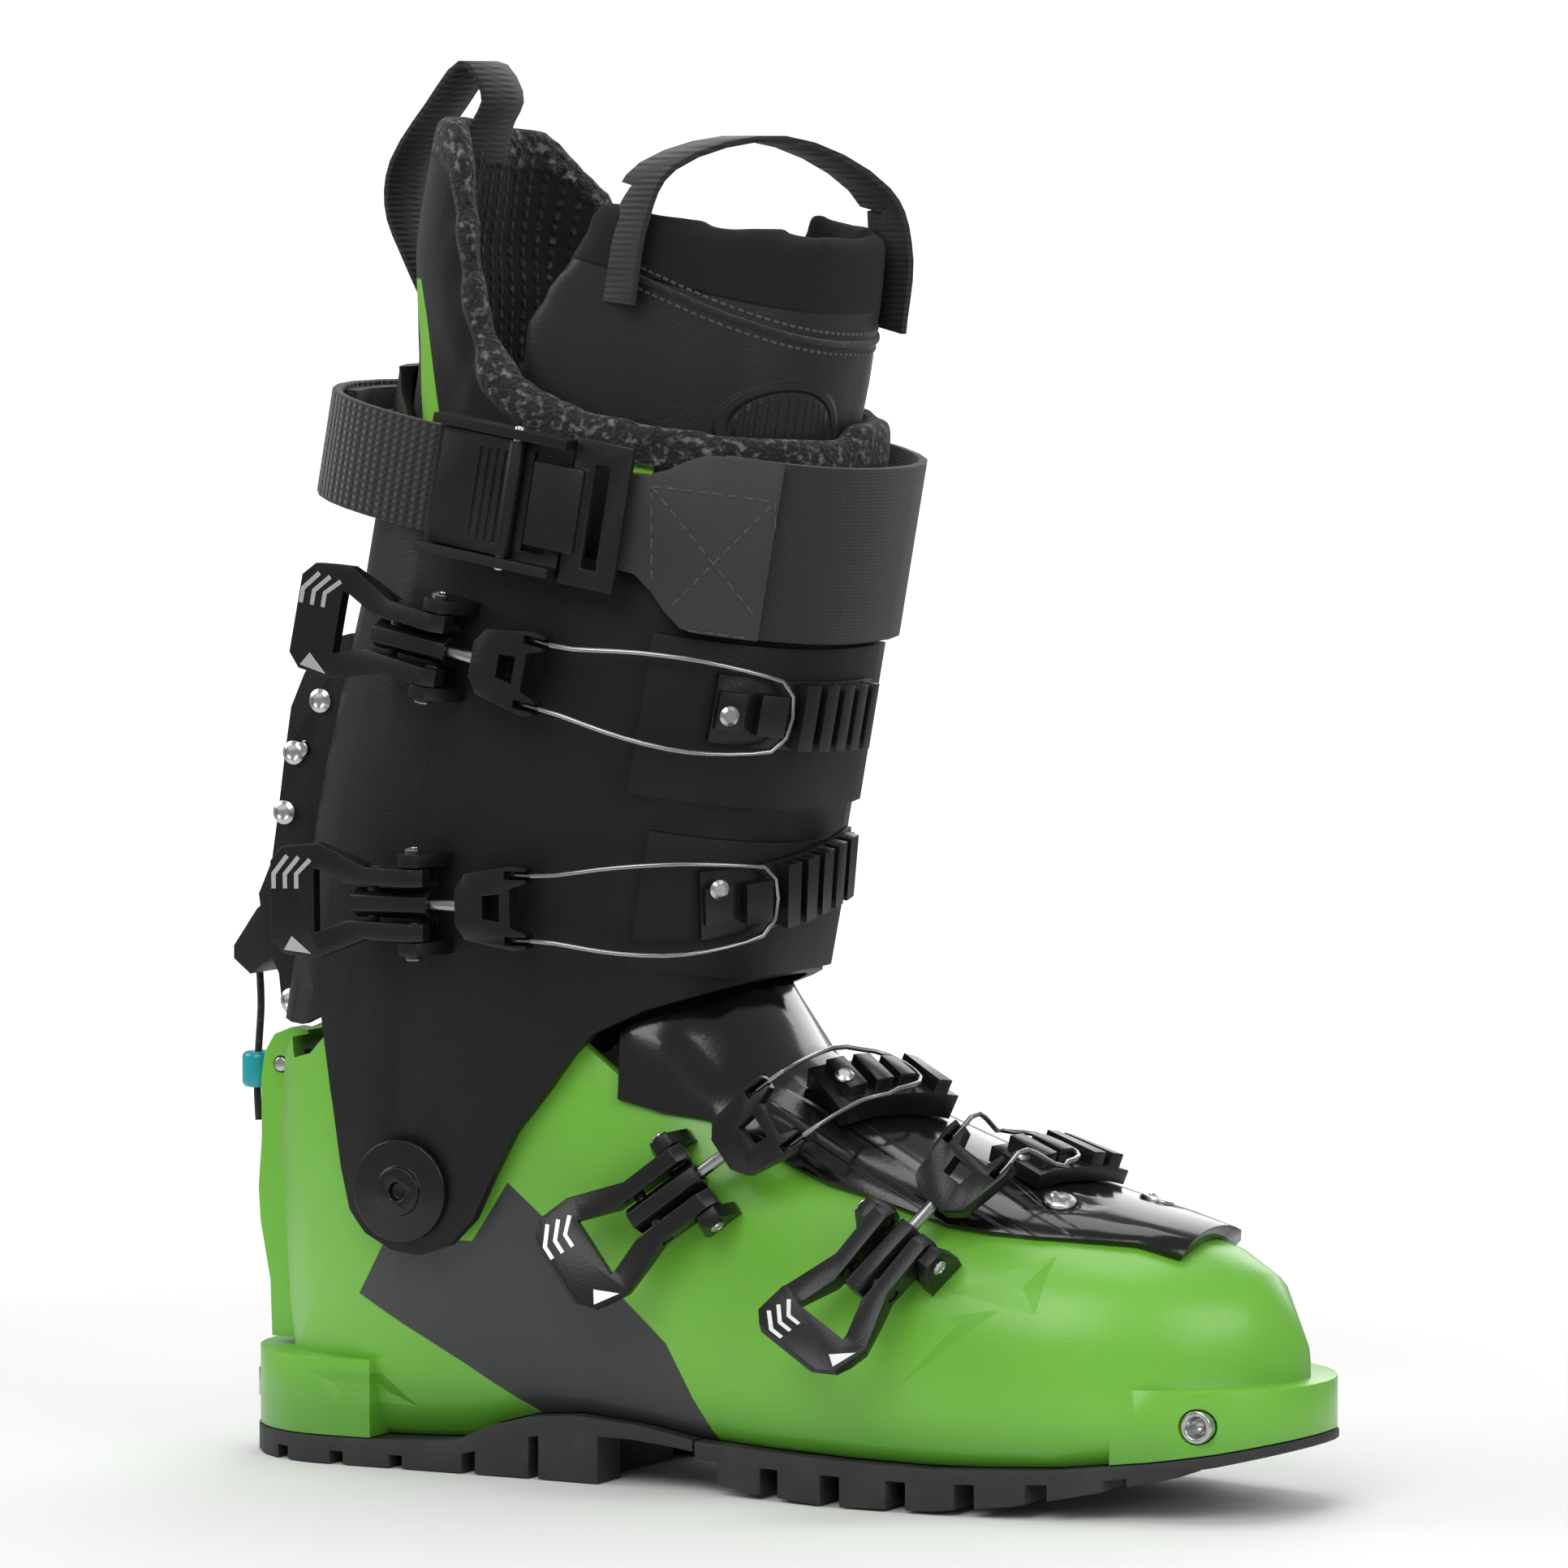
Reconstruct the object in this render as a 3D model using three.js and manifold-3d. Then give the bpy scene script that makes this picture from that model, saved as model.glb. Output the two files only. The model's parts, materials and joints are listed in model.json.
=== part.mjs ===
// Alpine touring boot, right foot, in millimetres.
// +X points to the toe, +Z up, the outer side of the boot is at -Y and the floor is z = 0.
// The cuff turns about an axis along Y through x = 0, z = ankleHeight.
import * as THREE from 'three';
import { mergeVertices } from 'three/addons/utils/BufferGeometryUtils.js';
import Module from 'manifold-3d';

const wasm = await Module();
wasm.setup();

// Overall sizes
const toeReach = 239;
const cuffRise = 207;
const ankleHeight = 76;
const legLean = THREE.MathUtils.degToRad(10);
const ballHalfWidth = 50;
const ankleHalfWidth = 46.5;
const cuffHalfWidth = 52;
const heelBlock = { rear: -67, halfWidth: 34 };
const toeBlock = { halfWidth: 37, low: 12, high: 33.5 };

// Walls and clearances
const seat = 0.35;
const shellWall = 3.5;
const cuffWall = 3.5;
const linerFootWall = 5;
const linerCollarWall = 8;
const tongueWall = 3;
const soleFloor = 4;
const padRise = 2.6;
const heelDomeRadius = 58.5;
const linerSplitRadius = 60.5;
const splitGap = 1.5;
const collarFrontAngle = 42;
const tongueWing = 102;
const rearNotchRadius = 71.5;
const tongueRearAngle = 53.5;

// Hardware
const pivotBolt = { head: 13.5, shank: 4.5, headHigh: 2.6 };
const lockPin = { x: -58, z: 103, radius: 2 };
const spine = { half: 13, slot: 5.5 };
const bracket = { inner: 17, wall: 2.5, web: 2.2, lowest: 130 };
const walkPivot = { x: -47.5, z: 188, radius: 2 };
const walkHalf = 10;
const cordRadius = 1;
const strap = { front: 83.4, rear: -70.5, half: 61, thick: 2.2, mid: 186, webbing: 28, band: 46 };

const standardToe = 239;
const standardRise = 207;
const colours = {
  green: [0x6cbf2a, 0.35, 0],
  black: [0x1b1c1e, 0.5, 0],
  gloss: [0x0c0c0d, 0.15, 0],
  rubber: [0x26272a, 0.85, 0],
  textile: [0x17181a, 0.95, 0],
  steel: [0xc4c7ca, 0.3, 1],
  teal: [0x14a3b8, 0.4, 0],
};

// Smooth curve through pairs of key and value, without overshoot.
function curve(pairs) {
  const keys = pairs.map((p) => p[0]);
  const values = pairs.map((p) => p[1]);
  const last = keys.length - 1;
  const slopes = [];
  for (let i = 0; i < last; i++) {
    slopes.push((values[i + 1] - values[i]) / (keys[i + 1] - keys[i]));
  }
  const tangents = [slopes[0]];
  for (let i = 1; i < last; i++) {
    const product = slopes[i - 1] * slopes[i];
    tangents.push(product <= 0 ? 0 : (2 * product) / (slopes[i - 1] + slopes[i]));
  }
  tangents.push(slopes[last - 1]);
  return (key) => {
    if (key <= keys[0]) return values[0];
    if (key >= keys[last]) return values[last];
    let i = 0;
    while (key > keys[i + 1]) i++;
    const span = keys[i + 1] - keys[i];
    const u = (key - keys[i]) / span;
    const rise = u * u * (3 - 2 * u);
    const near = u * (1 - u) * (1 - u) * span * tangents[i];
    const far = u * u * (u - 1) * span * tangents[i + 1];
    return values[i] + (values[i + 1] - values[i]) * rise + near + far;
  };
}

function ease(value, low, high) {
  const u = Math.min(1, Math.max(0, (value - low) / (high - low)));
  return u * u * (3 - 2 * u);
}

function toSolid(geometry) {
  const bare = new THREE.BufferGeometry();
  bare.setAttribute('position', geometry.getAttribute('position'));
  if (geometry.index) bare.setIndex(geometry.index);
  const merged = mergeVertices(bare, 1e-4);
  const vertProperties = new Float32Array(merged.getAttribute('position').array);
  const triVerts = new Uint32Array(merged.index.array);
  const mesh = new wasm.Mesh({ numProp: 3, vertProperties, triVerts });
  const solid = new wasm.Manifold(mesh);
  if (solid.volume() >= 0) return solid;
  for (let i = 0; i < triVerts.length; i += 3) {
    const held = triVerts[i];
    triVerts[i] = triVerts[i + 1];
    triVerts[i + 1] = held;
  }
  return new wasm.Manifold(new wasm.Mesh({ numProp: 3, vertProperties, triVerts }));
}

function largest(solid) {
  const bodies = solid.decompose();
  return bodies.reduce((a, b) => (b.volume() > a.volume() ? b : a));
}

function union(list) {
  return list.reduce((a, b) => a.add(b));
}

// Solid between matching rings of points; the two end rings are closed flat.
function ringSolid(rings) {
  const count = rings[0].length;
  const positions = [];
  const index = [];
  rings.forEach((ring) => ring.forEach((p) => positions.push(p[0], p[1], p[2])));
  for (let r = 0; r < rings.length - 1; r++) {
    for (let i = 0; i < count; i++) {
      const a = r * count + i;
      const b = r * count + ((i + 1) % count);
      index.push(a, b, a + count, b, b + count, a + count);
    }
  }
  [0, rings.length - 1].forEach((r) => {
    const middle = [0, 0, 0];
    rings[r].forEach((p) => p.forEach((c, k) => (middle[k] += c / count)));
    const centre = positions.length / 3;
    positions.push(...middle);
    for (let i = 0; i < count; i++) {
      const a = r * count + i;
      const b = r * count + ((i + 1) % count);
      if (r === 0) index.push(b, a, centre);
      else index.push(a, b, centre);
    }
  });
  const geometry = new THREE.BufferGeometry();
  geometry.setAttribute('position', new THREE.Float32BufferAttribute(positions, 3));
  geometry.setIndex(index);
  return toSolid(geometry);
}

// Outline in the side view (x, z) carried through the width from y = low to y = high.
function sidePrism(points, low, high) {
  const shape = new THREE.Shape(points.map((p) => new THREE.Vector2(p[0], p[1])));
  const geometry = new THREE.ExtrudeGeometry(shape, { depth: high - low, bevelEnabled: false });
  geometry.rotateX(Math.PI / 2);
  geometry.translate(0, high, 0);
  return toSolid(geometry);
}

// Outline in plan (x, y) carried from z = low to z = high.
function planPrism(points, low, high) {
  const shape = new THREE.Shape(points.map((p) => new THREE.Vector2(p[0], p[1])));
  const geometry = new THREE.ExtrudeGeometry(shape, { depth: high - low, bevelEnabled: false });
  geometry.translate(0, 0, low);
  return toSolid(geometry);
}

function box(low, high) {
  const geometry = new THREE.BoxGeometry(high[0] - low[0], high[1] - low[1], high[2] - low[2]);
  geometry.translate((high[0] + low[0]) / 2, (high[1] + low[1]) / 2, (high[2] + low[2]) / 2);
  return toSolid(geometry);
}

// Turned solid along Y from a profile of radius and distance along Y.
function turnedY(profile, sides, x, z) {
  const geometry = new THREE.LatheGeometry(profile.map((p) => new THREE.Vector2(p[0], p[1])), sides);
  geometry.translate(x, 0, z);
  return toSolid(geometry);
}

function rodY(radius, low, high, x, z, sides = 20) {
  return turnedY([[0, low], [radius, low], [radius, high], [0, high]], sides, x, z);
}

// ---- The foot form: sections across X, from the heel to the toe ----
const footEnds = { heel: -59, toe: 232.5 };

function footX(x) {
  const grown = (toeReach - 85) / (standardToe - 85);
  return x > 85 ? 85 + (x - 85) * grown : x;
}

const footTop = curve([
  [-59, 120], [-40, 158], [0, 164], [50, 162], [60, 156], [68, 146.5], [75, 137], [81, 127],
  [85, 118], [92, 110.5], [100, 105.5], [112, 99.5], [130, 92], [145, 86.2], [158, 81.8],
  [170, 78.2], [180, 75.4], [190, 72.8], [200, 70.2], [212, 66.2], [221, 61.4], [228, 54], [232.5, 44],
]);
const footLow = curve([
  [-59, 24], [-56, 8], [-45, 1], [5, 2], [17, 6], [30, 9], [60, 9], [85, 6], [114, 5],
  [183, 6], [204, 8], [222, 13], [229, 20], [232.5, 29],
]);
const footHalf = curve([
  [-59, 8], [-57.5, 15], [-54, 22.5], [-48, 30], [-40, 36], [-28, 41.5], [-14, 45.8], [0, 46.5],
  [22, 46.5], [45, 44.5], [65, 42.5], [85, 43], [105, 46.5], [125, 49.6], [150, 50], [170, 48.3],
  [190, 43], [205, 35.5], [215, 28], [223, 20], [229, 11.5], [232.5, 5],
]);
const footMid = curve([[-59, 62], [0, 75], [40, 70], [80, 52], [105, 44], [150, 37], [190, 35],
  [232.5, 36]]);
const footUpper = curve([[-59, 2.4], [-20, 3.6], [40, 3.4], [60, 2.6], [76, 2.1], [100, 2], [125, 2.15],
  [232, 2.2]]);

function footSize(x) {
  const scale = x < 60 ? ankleHalfWidth / 46.5 : ballHalfWidth / 50;
  const blend = ease(x, 45, 100);
  return footHalf(x) * (x < 60 ? scale : 1 + (scale - 1) * blend);
}

// Point on the form; turn is 0 on the inner side, 90 on top, 180 on the outer side.
function footPoint(x, turn, offset = 0) {
  const top = footTop(x) + offset;
  const low = footLow(x) - offset;
  const middle = footMid(x);
  const half = footSize(x) + offset;
  const c = Math.cos(turn);
  const s = Math.sin(turn);
  const power = s >= 0 ? footUpper(x) : 4;
  const reach = s >= 0 ? top - middle : middle - low;
  const z = middle + Math.sign(s) * reach * Math.abs(s) ** (2 / power);
  const tuck = 0.27 * (1 - ease(z, 18, 70)) * (1 - ease(x, 5, 80));
  const y = Math.sign(c) * half * Math.abs(c) ** (2 / power) * (1 - tuck);
  const push = x > 150 ? (x - 150) / (footEnds.toe - 150) : x < 0 ? x / -footEnds.heel : 0;
  return [footX(x) + offset * push, y, z];
}

function footLoft(offset, count = 24, steps = 18) {
  const rings = [];
  for (let k = 0; k <= steps; k++) {
    const u = 0.5 - 0.5 * Math.cos((Math.PI * k) / steps);
    const x = footEnds.heel + (footEnds.toe - footEnds.heel) * (0.45 * u + 0.55 * (k / steps));
    const ring = [];
    for (let i = 0; i < count; i++) {
      ring.push(footPoint(x, (2 * Math.PI * (i + 0.5)) / count, offset));
    }
    rings.push(ring);
  }
  return ringSolid(rings);
}

// Turn at which the section at x passes the height z on its upper half.
function footTurn(x, z) {
  const share = (z - footMid(x)) / (footTop(x) - footMid(x));
  return Math.asin(Math.min(0.98, Math.max(0.02, share)) ** (footUpper(x) / 2));
}

// ---- The leg form: sections across the leaning leg axis ----
const legFront = curve([[-30, 77], [60, 77], [105, 77.5], [156, 77.5], [207, 77], [240, 77.5],
  [262, 76], [290, 70]]);
const legRear = curve([
  [-30, -60], [60, -60], [100, -59], [125, -57], [145, -55.5], [207, -55], [222, -58], [240, -62],
  [290, -63],
]);
const legHalf = curve([[-30, 51.5], [0, 52], [30, 52.5], [80, 54], [120, 55], [160, 55.5], [207, 54.5],
  [240, 53], [290, 47]]);

function legRise(s) {
  return s > 60 ? 60 + (s - 60) * ((cuffRise - 60) / (standardRise - 60)) : s;
}

function legWorld(f, y, s) {
  const x = f * Math.cos(legLean) + s * Math.sin(legLean);
  const z = ankleHeight + s * Math.cos(legLean) - f * Math.sin(legLean);
  return [x, y, z];
}

// Side-view point given for the standard cuff height, carried to the present one.
function legSide(x, z) {
  const f = x * Math.cos(legLean) - (z - ankleHeight) * Math.sin(legLean);
  const s = x * Math.sin(legLean) + (z - ankleHeight) * Math.cos(legLean);
  const moved = legWorld(f, 0, legRise(s));
  return [moved[0], moved[2]];
}

// Point on the form; turn is 0 at the front, -90 on the outer side, 180 at the rear.
function legPoint(s, turn, offset = 0) {
  const front = legFront(s);
  const rear = legRear(s);
  const depth = (front - rear) / 2;
  const half = legHalf(s) * (cuffHalfWidth / 52);
  const power = 2.6;
  const c = Math.cos(turn);
  const n = Math.sin(turn);
  const f = Math.sign(c) * depth * Math.abs(c) ** (2 / power);
  const y = Math.sign(n) * half * Math.abs(n) ** (2 / power);
  const gradF = (Math.sign(f) * Math.abs(f / depth) ** (power - 1)) / depth;
  const gradY = (Math.sign(y) * Math.abs(y / half) ** (power - 1)) / half;
  const size = Math.hypot(gradF, gradY);
  const outF = f + (offset * gradF) / size;
  const outY = y + (offset * gradY) / size;
  return legWorld((front + rear) / 2 + outF, outY, legRise(s));
}

const legStations = [-30, 60, 100, 145, 207, 222, 240, 262];

function legLoft(offset, low, high) {
  const count = 28;
  const rings = [];
  [low, ...legStations.filter((s) => s > low + 1 && s < high - 1), high].forEach((s) => {
    const ring = [];
    for (let i = 0; i < count; i++) ring.push(legPoint(s, (2 * Math.PI * i) / count, offset));
    rings.push(ring);
  });
  return ringSolid(rings);
}

// ---- Surfaces that hardware is laid along ----
function frameAt(surface, u, v) {
  const h = 0.01;
  const p = new THREE.Vector3(...surface(u, v));
  const du = new THREE.Vector3(...surface(u + h, v)).sub(new THREE.Vector3(...surface(u - h, v)));
  const dv = new THREE.Vector3(...surface(u, v + h)).sub(new THREE.Vector3(...surface(u, v - h)));
  du.divideScalar(2 * h);
  dv.divideScalar(2 * h);
  const n = du.clone().cross(dv).normalize();
  return { p, du, dv, n };
}

// Walks over a surface in a straight line, giving frames every step of arc length.
function walk(surface, u0, v0, heading, inside, length, step = 1.5) {
  const frames = [];
  let u = u0;
  let v = v0;
  const d = heading.clone();
  for (let run = 0; run <= length; run += step) {
    const at = frameAt(surface, u, v);
    if (at.p.clone().sub(inside).dot(at.n) < 0) at.n.negate();
    d.addScaledVector(at.n, -d.dot(at.n)).normalize();
    const side = d.clone().cross(at.n).normalize();
    frames.push({ p: at.p, n: at.n, d: d.clone(), b: side, run });
    const a = at.du.dot(at.du);
    const b = at.du.dot(at.dv);
    const c = at.dv.dot(at.dv);
    const e = at.du.dot(d) * step;
    const f = at.dv.dot(d) * step;
    const det = a * c - b * b;
    u += (e * c - f * b) / det;
    v += (f * a - e * b) / det;
  }
  return frames;
}

function along(frames, run) {
  const step = frames[1].run;
  const i = Math.min(frames.length - 2, Math.max(0, Math.floor(run / step)));
  const u = run / step - i;
  const mix = (key) => frames[i][key].clone().lerp(frames[i + 1][key], u);
  return { p: mix('p'), n: mix('n').normalize(), d: mix('d').normalize(), b: mix('b').normalize() };
}

function onFrame(frame, ahead, high, side) {
  const p = frame.p.clone();
  p.addScaledVector(frame.d, ahead).addScaledVector(frame.n, high).addScaledVector(frame.b, side);
  return [p.x, p.y, p.z];
}

// Strip laid along the frames between two runs, with its height and half width given.
function strip(frames, from, to, low, high, half, pieces) {
  const rings = [];
  for (let i = 0; i <= pieces; i++) {
    const frame = along(frames, from + ((to - from) * i) / pieces);
    rings.push([[low, -half], [low, half], [high, half],
      [high, -half]].map((c) => onFrame(frame, 0, c[0], c[1])));
  }
  return ringSolid(rings);
}

// ---- Solids shared by several pieces ----
const ankleRegion = union([
  turnedY([[0, -90], [heelDomeRadius, -90], [heelDomeRadius, 90], [0, 90]], 40, 0, ankleHeight),
  box([-120, -90, -40], [300, 90, ankleHeight - 6]),
  box([0, -90, 0], [300, 90, 300]),
]);

// Wedge ahead of a line through the ankle axis, given in degrees forward of upright.
function wedge(angle, reach = 260) {
  const a = THREE.MathUtils.degToRad(angle);
  return sidePrism(
    [[0, ankleHeight], [reach * Math.sin(a), ankleHeight + reach * Math.cos(a)], [reach + 80, 0],
    [reach + 80, -60], [0, -60]],
    -90,
    90,
  );
}

const soleLine = [
  [-80, 7.5], [-22, 7.5], [5, 8.5], [17, 13.5], [28, 16.5], [42, 17.8], [60, 16.6], [80, 13.6], [114, 12.6],
  [150, 12], [183, 13.2], [204, 15], [222, 17.6], [252, 23],
];

function belowLine(line, drop, floor = -60) {
  const points = line.map((p) => [footX(p[0]), p[1] - drop]);
  const end = points[points.length - 1][0];
  return sidePrism([...points, [end, floor], [points[0][0], floor]], -90, 90);
}

const shellTopLine = [
  [-75, 30], [-75, 113], [-46, 113], [-44, 107], [-36, 109], [-24, 120], [-8, 130], [6, 131], [20, 130],
  [36, 124], [47, 116], [58, 107],
  [81, 102], [97, 94], [109, 89], [129, 83.5], [150, 77], [169, 74.6], [175, 75.5], [179, 90],
  [260, 90], [260, -20], [-75, -20],
];

function blockPlan(grow) {
  const points = [];
  const heelHalf = heelBlock.halfWidth + grow;
  const toeHalf = toeBlock.halfWidth + grow;
  const heelCentre = heelBlock.rear + heelBlock.halfWidth;
  const toeCentre = footX(standardToe) - toeBlock.halfWidth;
  for (let i = 0; i <= 16; i++) {
    const a = Math.PI / 2 - (Math.PI * i) / 16;
    points.push([toeCentre + toeHalf * Math.cos(a), toeHalf * Math.sin(a)]);
  }
  const waist = [[footX(186), 44], [footX(168), 47.5], [footX(140), 48.6], [footX(118), 47.5],
    [footX(96), 43], [70, 38], [30, 35.5], [-6, 34.6]];
  waist.forEach((p) => points.push([p[0], -(p[1] + grow)]));
  for (let i = 0; i <= 16; i++) {
    const a = -Math.PI / 2 - (Math.PI * i) / 16;
    points.push([heelCentre + heelHalf * Math.cos(a), heelHalf * Math.sin(a)]);
  }
  waist.reverse().forEach((p) => points.push([p[0], p[1] + grow]));
  return points;
}


// ---- Shell body ----
const shellOuterForm = footLoft(0).intersect(ankleRegion);

function spineOutline() {
  return [
    [-42, 30], [-61, 30], [-61.5, 45], [-64.5, 61], [-65, 70], [-64, 83], [-64, 99], [-63, 106],
    [-60, 111], [-55, 113], [-50, 112.5], [-47, 106], [-42, 90],
  ];
}

function lowerShell() {
  const plan = planPrism(blockPlan(0), -10, toeBlock.high);
  const heelLedge = plan.intersect(box([-90, -60, -10], [-20, 60, 28]));
  const toeLedge = plan.intersect(box([footX(196), -60, -10], [300, 60, toeBlock.high]));
  const rib = sidePrism(spineOutline(), -spine.half, spine.half);
  let outer = shellOuterForm.add(heelLedge).add(toeLedge).add(rib);
  outer = outer.intersect(sidePrism(shellTopLine.map((p) => [footX(p[0]), p[1]]), -90, 90));
  outer = outer.subtract(belowLine(soleLine, 0));
  const region = ankleRegion.intersect(
    turnedY([[0, -90], [heelDomeRadius - shellWall, -90], [heelDomeRadius - shellWall, 90], [0, 90]],
      40, 0, ankleHeight)
      .add(box([-120, -90, -40], [300, 90, ankleHeight - 6]))
      .add(box([0, -90, 0], [300, 90, 300])),
  );
  const inner = footLoft(-shellWall).intersect(region).subtract(belowLine(soleLine, -soleFloor));
  let shell = outer.subtract(inner);
  shell = shell.subtract(box([-80, -spine.slot, 90], [-52, spine.slot, 120]));
  shell = shell.subtract(rodY(lockPin.radius + seat, -20, 20, lockPin.x, lockPin.z));
  shell = shell.subtract(rodY(pivotBolt.shank + seat, -90, 90, 0, ankleHeight));
  const notch = heelInsert();
  shell = shell.subtract(box([heelBlock.rear - 5, -notch.half - seat, notch.low - seat],
    [notch.front + seat, notch.half + seat, notch.high + seat]));
  [-1, 1].forEach((side) => {
    const cup = toeCup(side);
    shell = shell.subtract(rodY(cup.radius + seat, Math.min(cup.from, cup.to),
      Math.max(cup.from, cup.to), cup.x, cup.z));
  });
  [0, 1].forEach((i) => {
    shell = shell.subtract(tongueScrew(i, seat));
  });
  return largest(shell);
}

function toeCup(side) {
  const inner = toeBlock.halfWidth - 11;
  return { x: footX(standardToe) - 21.5, z: 24.5, radius: 4.3, from: side * (inner - seat),
    to: side * 60, inner };
}

function toeInsert(side) {
  const cup = toeCup(side);
  const face = 34.1;
  const profile = [
    [0, cup.inner], [cup.radius, cup.inner], [cup.radius, face + 0.4], [2.9, face + 0.4],
    [2.5, face - 2], [0, face - 5],
  ];
  return turnedY(profile.map((p) => [p[0], side * p[1]]), 18, cup.x, cup.z);
}

function heelInsert() {
  return { half: 12, low: 13.5, high: 21.5, front: heelBlock.rear + 8 };
}

function heelPinInsert() {
  const size = heelInsert();
  let plate = box([heelBlock.rear + 1.2, -size.half, size.low], [size.front, size.half, size.high]);
  [-6, 6].forEach((y) => {
    const geometry = new THREE.CylinderGeometry(2, 2, 8, 12);
    geometry.rotateZ(Math.PI / 2);
    geometry.translate(heelBlock.rear + 2, y, (size.low + size.high) / 2);
    plate = plate.subtract(toSolid(geometry));
  });
  return plate;
}

// Lugs stand under a plate; each lug is a block of the plan outline between two stations.
function soleHalf(plate, tread, lugs, from, to) {
  const plan = planPrism(blockPlan(0.4), -4, 40);
  const body = plan.intersect(box([from, -60, -4], [to, 60, 40])).intersect(belowLine(soleLine, seat));
  let sole = body.subtract(belowLine(plate, 0));
  const rim = planPrism(blockPlan(-13), -20, 60);
  lugs.forEach((lug) => {
    let block = body.intersect(box([lug[0], -60, -5], [lug[1], 60, 40])).subtract(belowLine(tread, 0));
    if (lug[2] === 'edge') block = block.subtract(rim);
    if (lug[2] === 'middle') block = block.intersect(rim.intersect(box([-90, -15, -10], [300, 15, 50])));
    sole = sole.add(block);
  });
  return largest(sole);
}

function outsoleHeel() {
  const plate = [[-80, 3.6], [-60, 3.4], [0, 3.4], [12, 6], [26, 10.5], [40, 12.5], [60, 12.2], [84, 10]];
  const tread = [[-80, 2.4], [-66, 1], [-58, 0], [84, 0]];
  const lugs = [[-67.5, -50, 'edge'], [-46, -32, 'edge'], [-28, -14, 'edge'], [-12, 12, 'middle'],
    [-10, 8, 'edge'],
    [12, 28, 'edge'], [31, 49, 'edge'], [-56, -40, 'middle'], [-36, -16, 'middle'], [16, 45, 'middle']];
  return soleHalf(plate, tread, lugs, -80, 78);
}

function outsoleForefoot() {
  const plate = [[78, 8.6], [100, 8], [150, 7.6], [183, 9], [204, 11.2], [222, 14.2], [252, 20.5]];
  const tread = [[78, 4], [96, 1.2], [120, 0], [150, 0.6], [172, 3], [195, 7.4], [222, 13.6], [252, 20.5]];
  const lugs = [];
  for (let i = 0; i < 7; i++) {
    lugs.push([footX(86 + i * 19), footX(86 + i * 19 + 13.5), 'edge']);
    lugs.push([footX(92 + i * 19), footX(92 + i * 19 + 12), 'middle']);
  }
  return soleHalf(plate, tread, lugs, 78.6, 300);
}

const boardLine = [[-80, 24], [10, 24], [60, 21], [110, 19], [180, 19.5], [210, 22], [252, 30]];

function linerRegion(shrink) {
  const radius = heelDomeRadius - shellWall - seat - shrink;
  return turnedY([[0, -90], [radius, -90], [radius, 90], [0, 90]], 40, 0, ankleHeight)
    .add(box([-120, -90, -40], [300, 90, ankleHeight - 6]))
    .add(box([0, -90, 0], [300, 90, 300]));
}

function bootBoard() {
  return largest(
    footLoft(-shellWall - seat)
      .intersect(belowLine(boardLine, 0))
      .subtract(belowLine(soleLine, -soleFloor - seat)),
  );
}

function linerFoot() {
  const outer = footLoft(-shellWall - seat).intersect(linerRegion(0));
  const inner = footLoft(-shellWall - seat - linerFootWall).intersect(linerRegion(linerFootWall));
  let liner = outer.subtract(inner.subtract(belowLine(boardLine, -linerFootWall)));
  liner = liner.subtract(belowLine(boardLine, -seat));
  const ball = rodY(linerSplitRadius, -90, 90, 0, ankleHeight, 40);
  const front = wedge(tongueRearAngle);
  const keep = ball.add(front).add(box([-120, -90, -20], [300, 90, ankleHeight]));
  const mouth = sidePrism([[-42, 112], [-30, 128], [-10, 160], [60, 160], [58, 128], [40, 118],
    [0, 122], [-30, 112]], -90, 90);
  return largest(liner.intersect(keep).subtract(mouth));
}

const tongueEdge = curve([
  [58, 101], [73, 97], [81, 96], [89, 92], [97, 88], [109, 83], [129, 78], [150, 72], [169, 69.6],
  [181, 68.8], [192, 68], [200, 66.8], [206, 64.6],
]);

// The band over the instep that the tongue fills, from inside the shell out to the given rise.
function tongueForm(rise, lip, widen = 0) {
  const rings = [];
  const across = 10;
  for (let k = 0; k <= 13; k++) {
    const x = 58 + ((206 - 58) * k) / 13;
    const edge = footTurn(x, tongueEdge(x) - widen);
    const outer = [];
    const inner = [];
    for (let i = 0; i <= across; i++) {
      const turn = edge + ((Math.PI - 2 * edge) * i) / across;
      outer.push(footPoint(x, turn, i === 0 || i === across ? lip : rise));
      inner.push(footPoint(x, turn, -4));
    }
    rings.push([...outer, ...inner.reverse()]);
  }
  return ringSolid(rings);
}

function instepTongue() {
  let tongue = tongueForm(tongueWall + seat, 1.2 + seat).subtract(footLoft(seat));
  tongue = tongue.intersect(wedge(tongueRearAngle));
  [0, 1].forEach((i) => {
    tongue = tongue.subtract(tongueScrew(i, seat));
  });
  return largest(tongue);
}

function tongueScrew(i, grow) {
  const place = [[172, Math.PI / 2 + 0.36], [187, Math.PI / 2 - 0.16]][i];
  const at = frameAt((x, t) => footPoint(x, t), place[0], place[1]);
  if (at.n.z < 0) at.n.negate();
  const base = tongueWall + seat;
  const profile = [
    [0, -3 - grow], [2 + grow, -3 - grow], [2 + grow, base - 1.4 - grow], [4.4 + grow, base - 1.4 - grow],
    [4.4 + grow, base + 1 + grow * 20], [1.6, base + 1 + grow * 20], [0, base + 0.2 + grow * 22],
  ];
  const geometry = new THREE.LatheGeometry(profile.map((p) => new THREE.Vector2(p[0], p[1])), 16);
  geometry.applyQuaternion(new THREE.Quaternion().setFromUnitVectors(new THREE.Vector3(0, 1, 0), at.n));
  geometry.translate(at.p.x, at.p.y, at.p.z);
  return toSolid(geometry);
}

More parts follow.
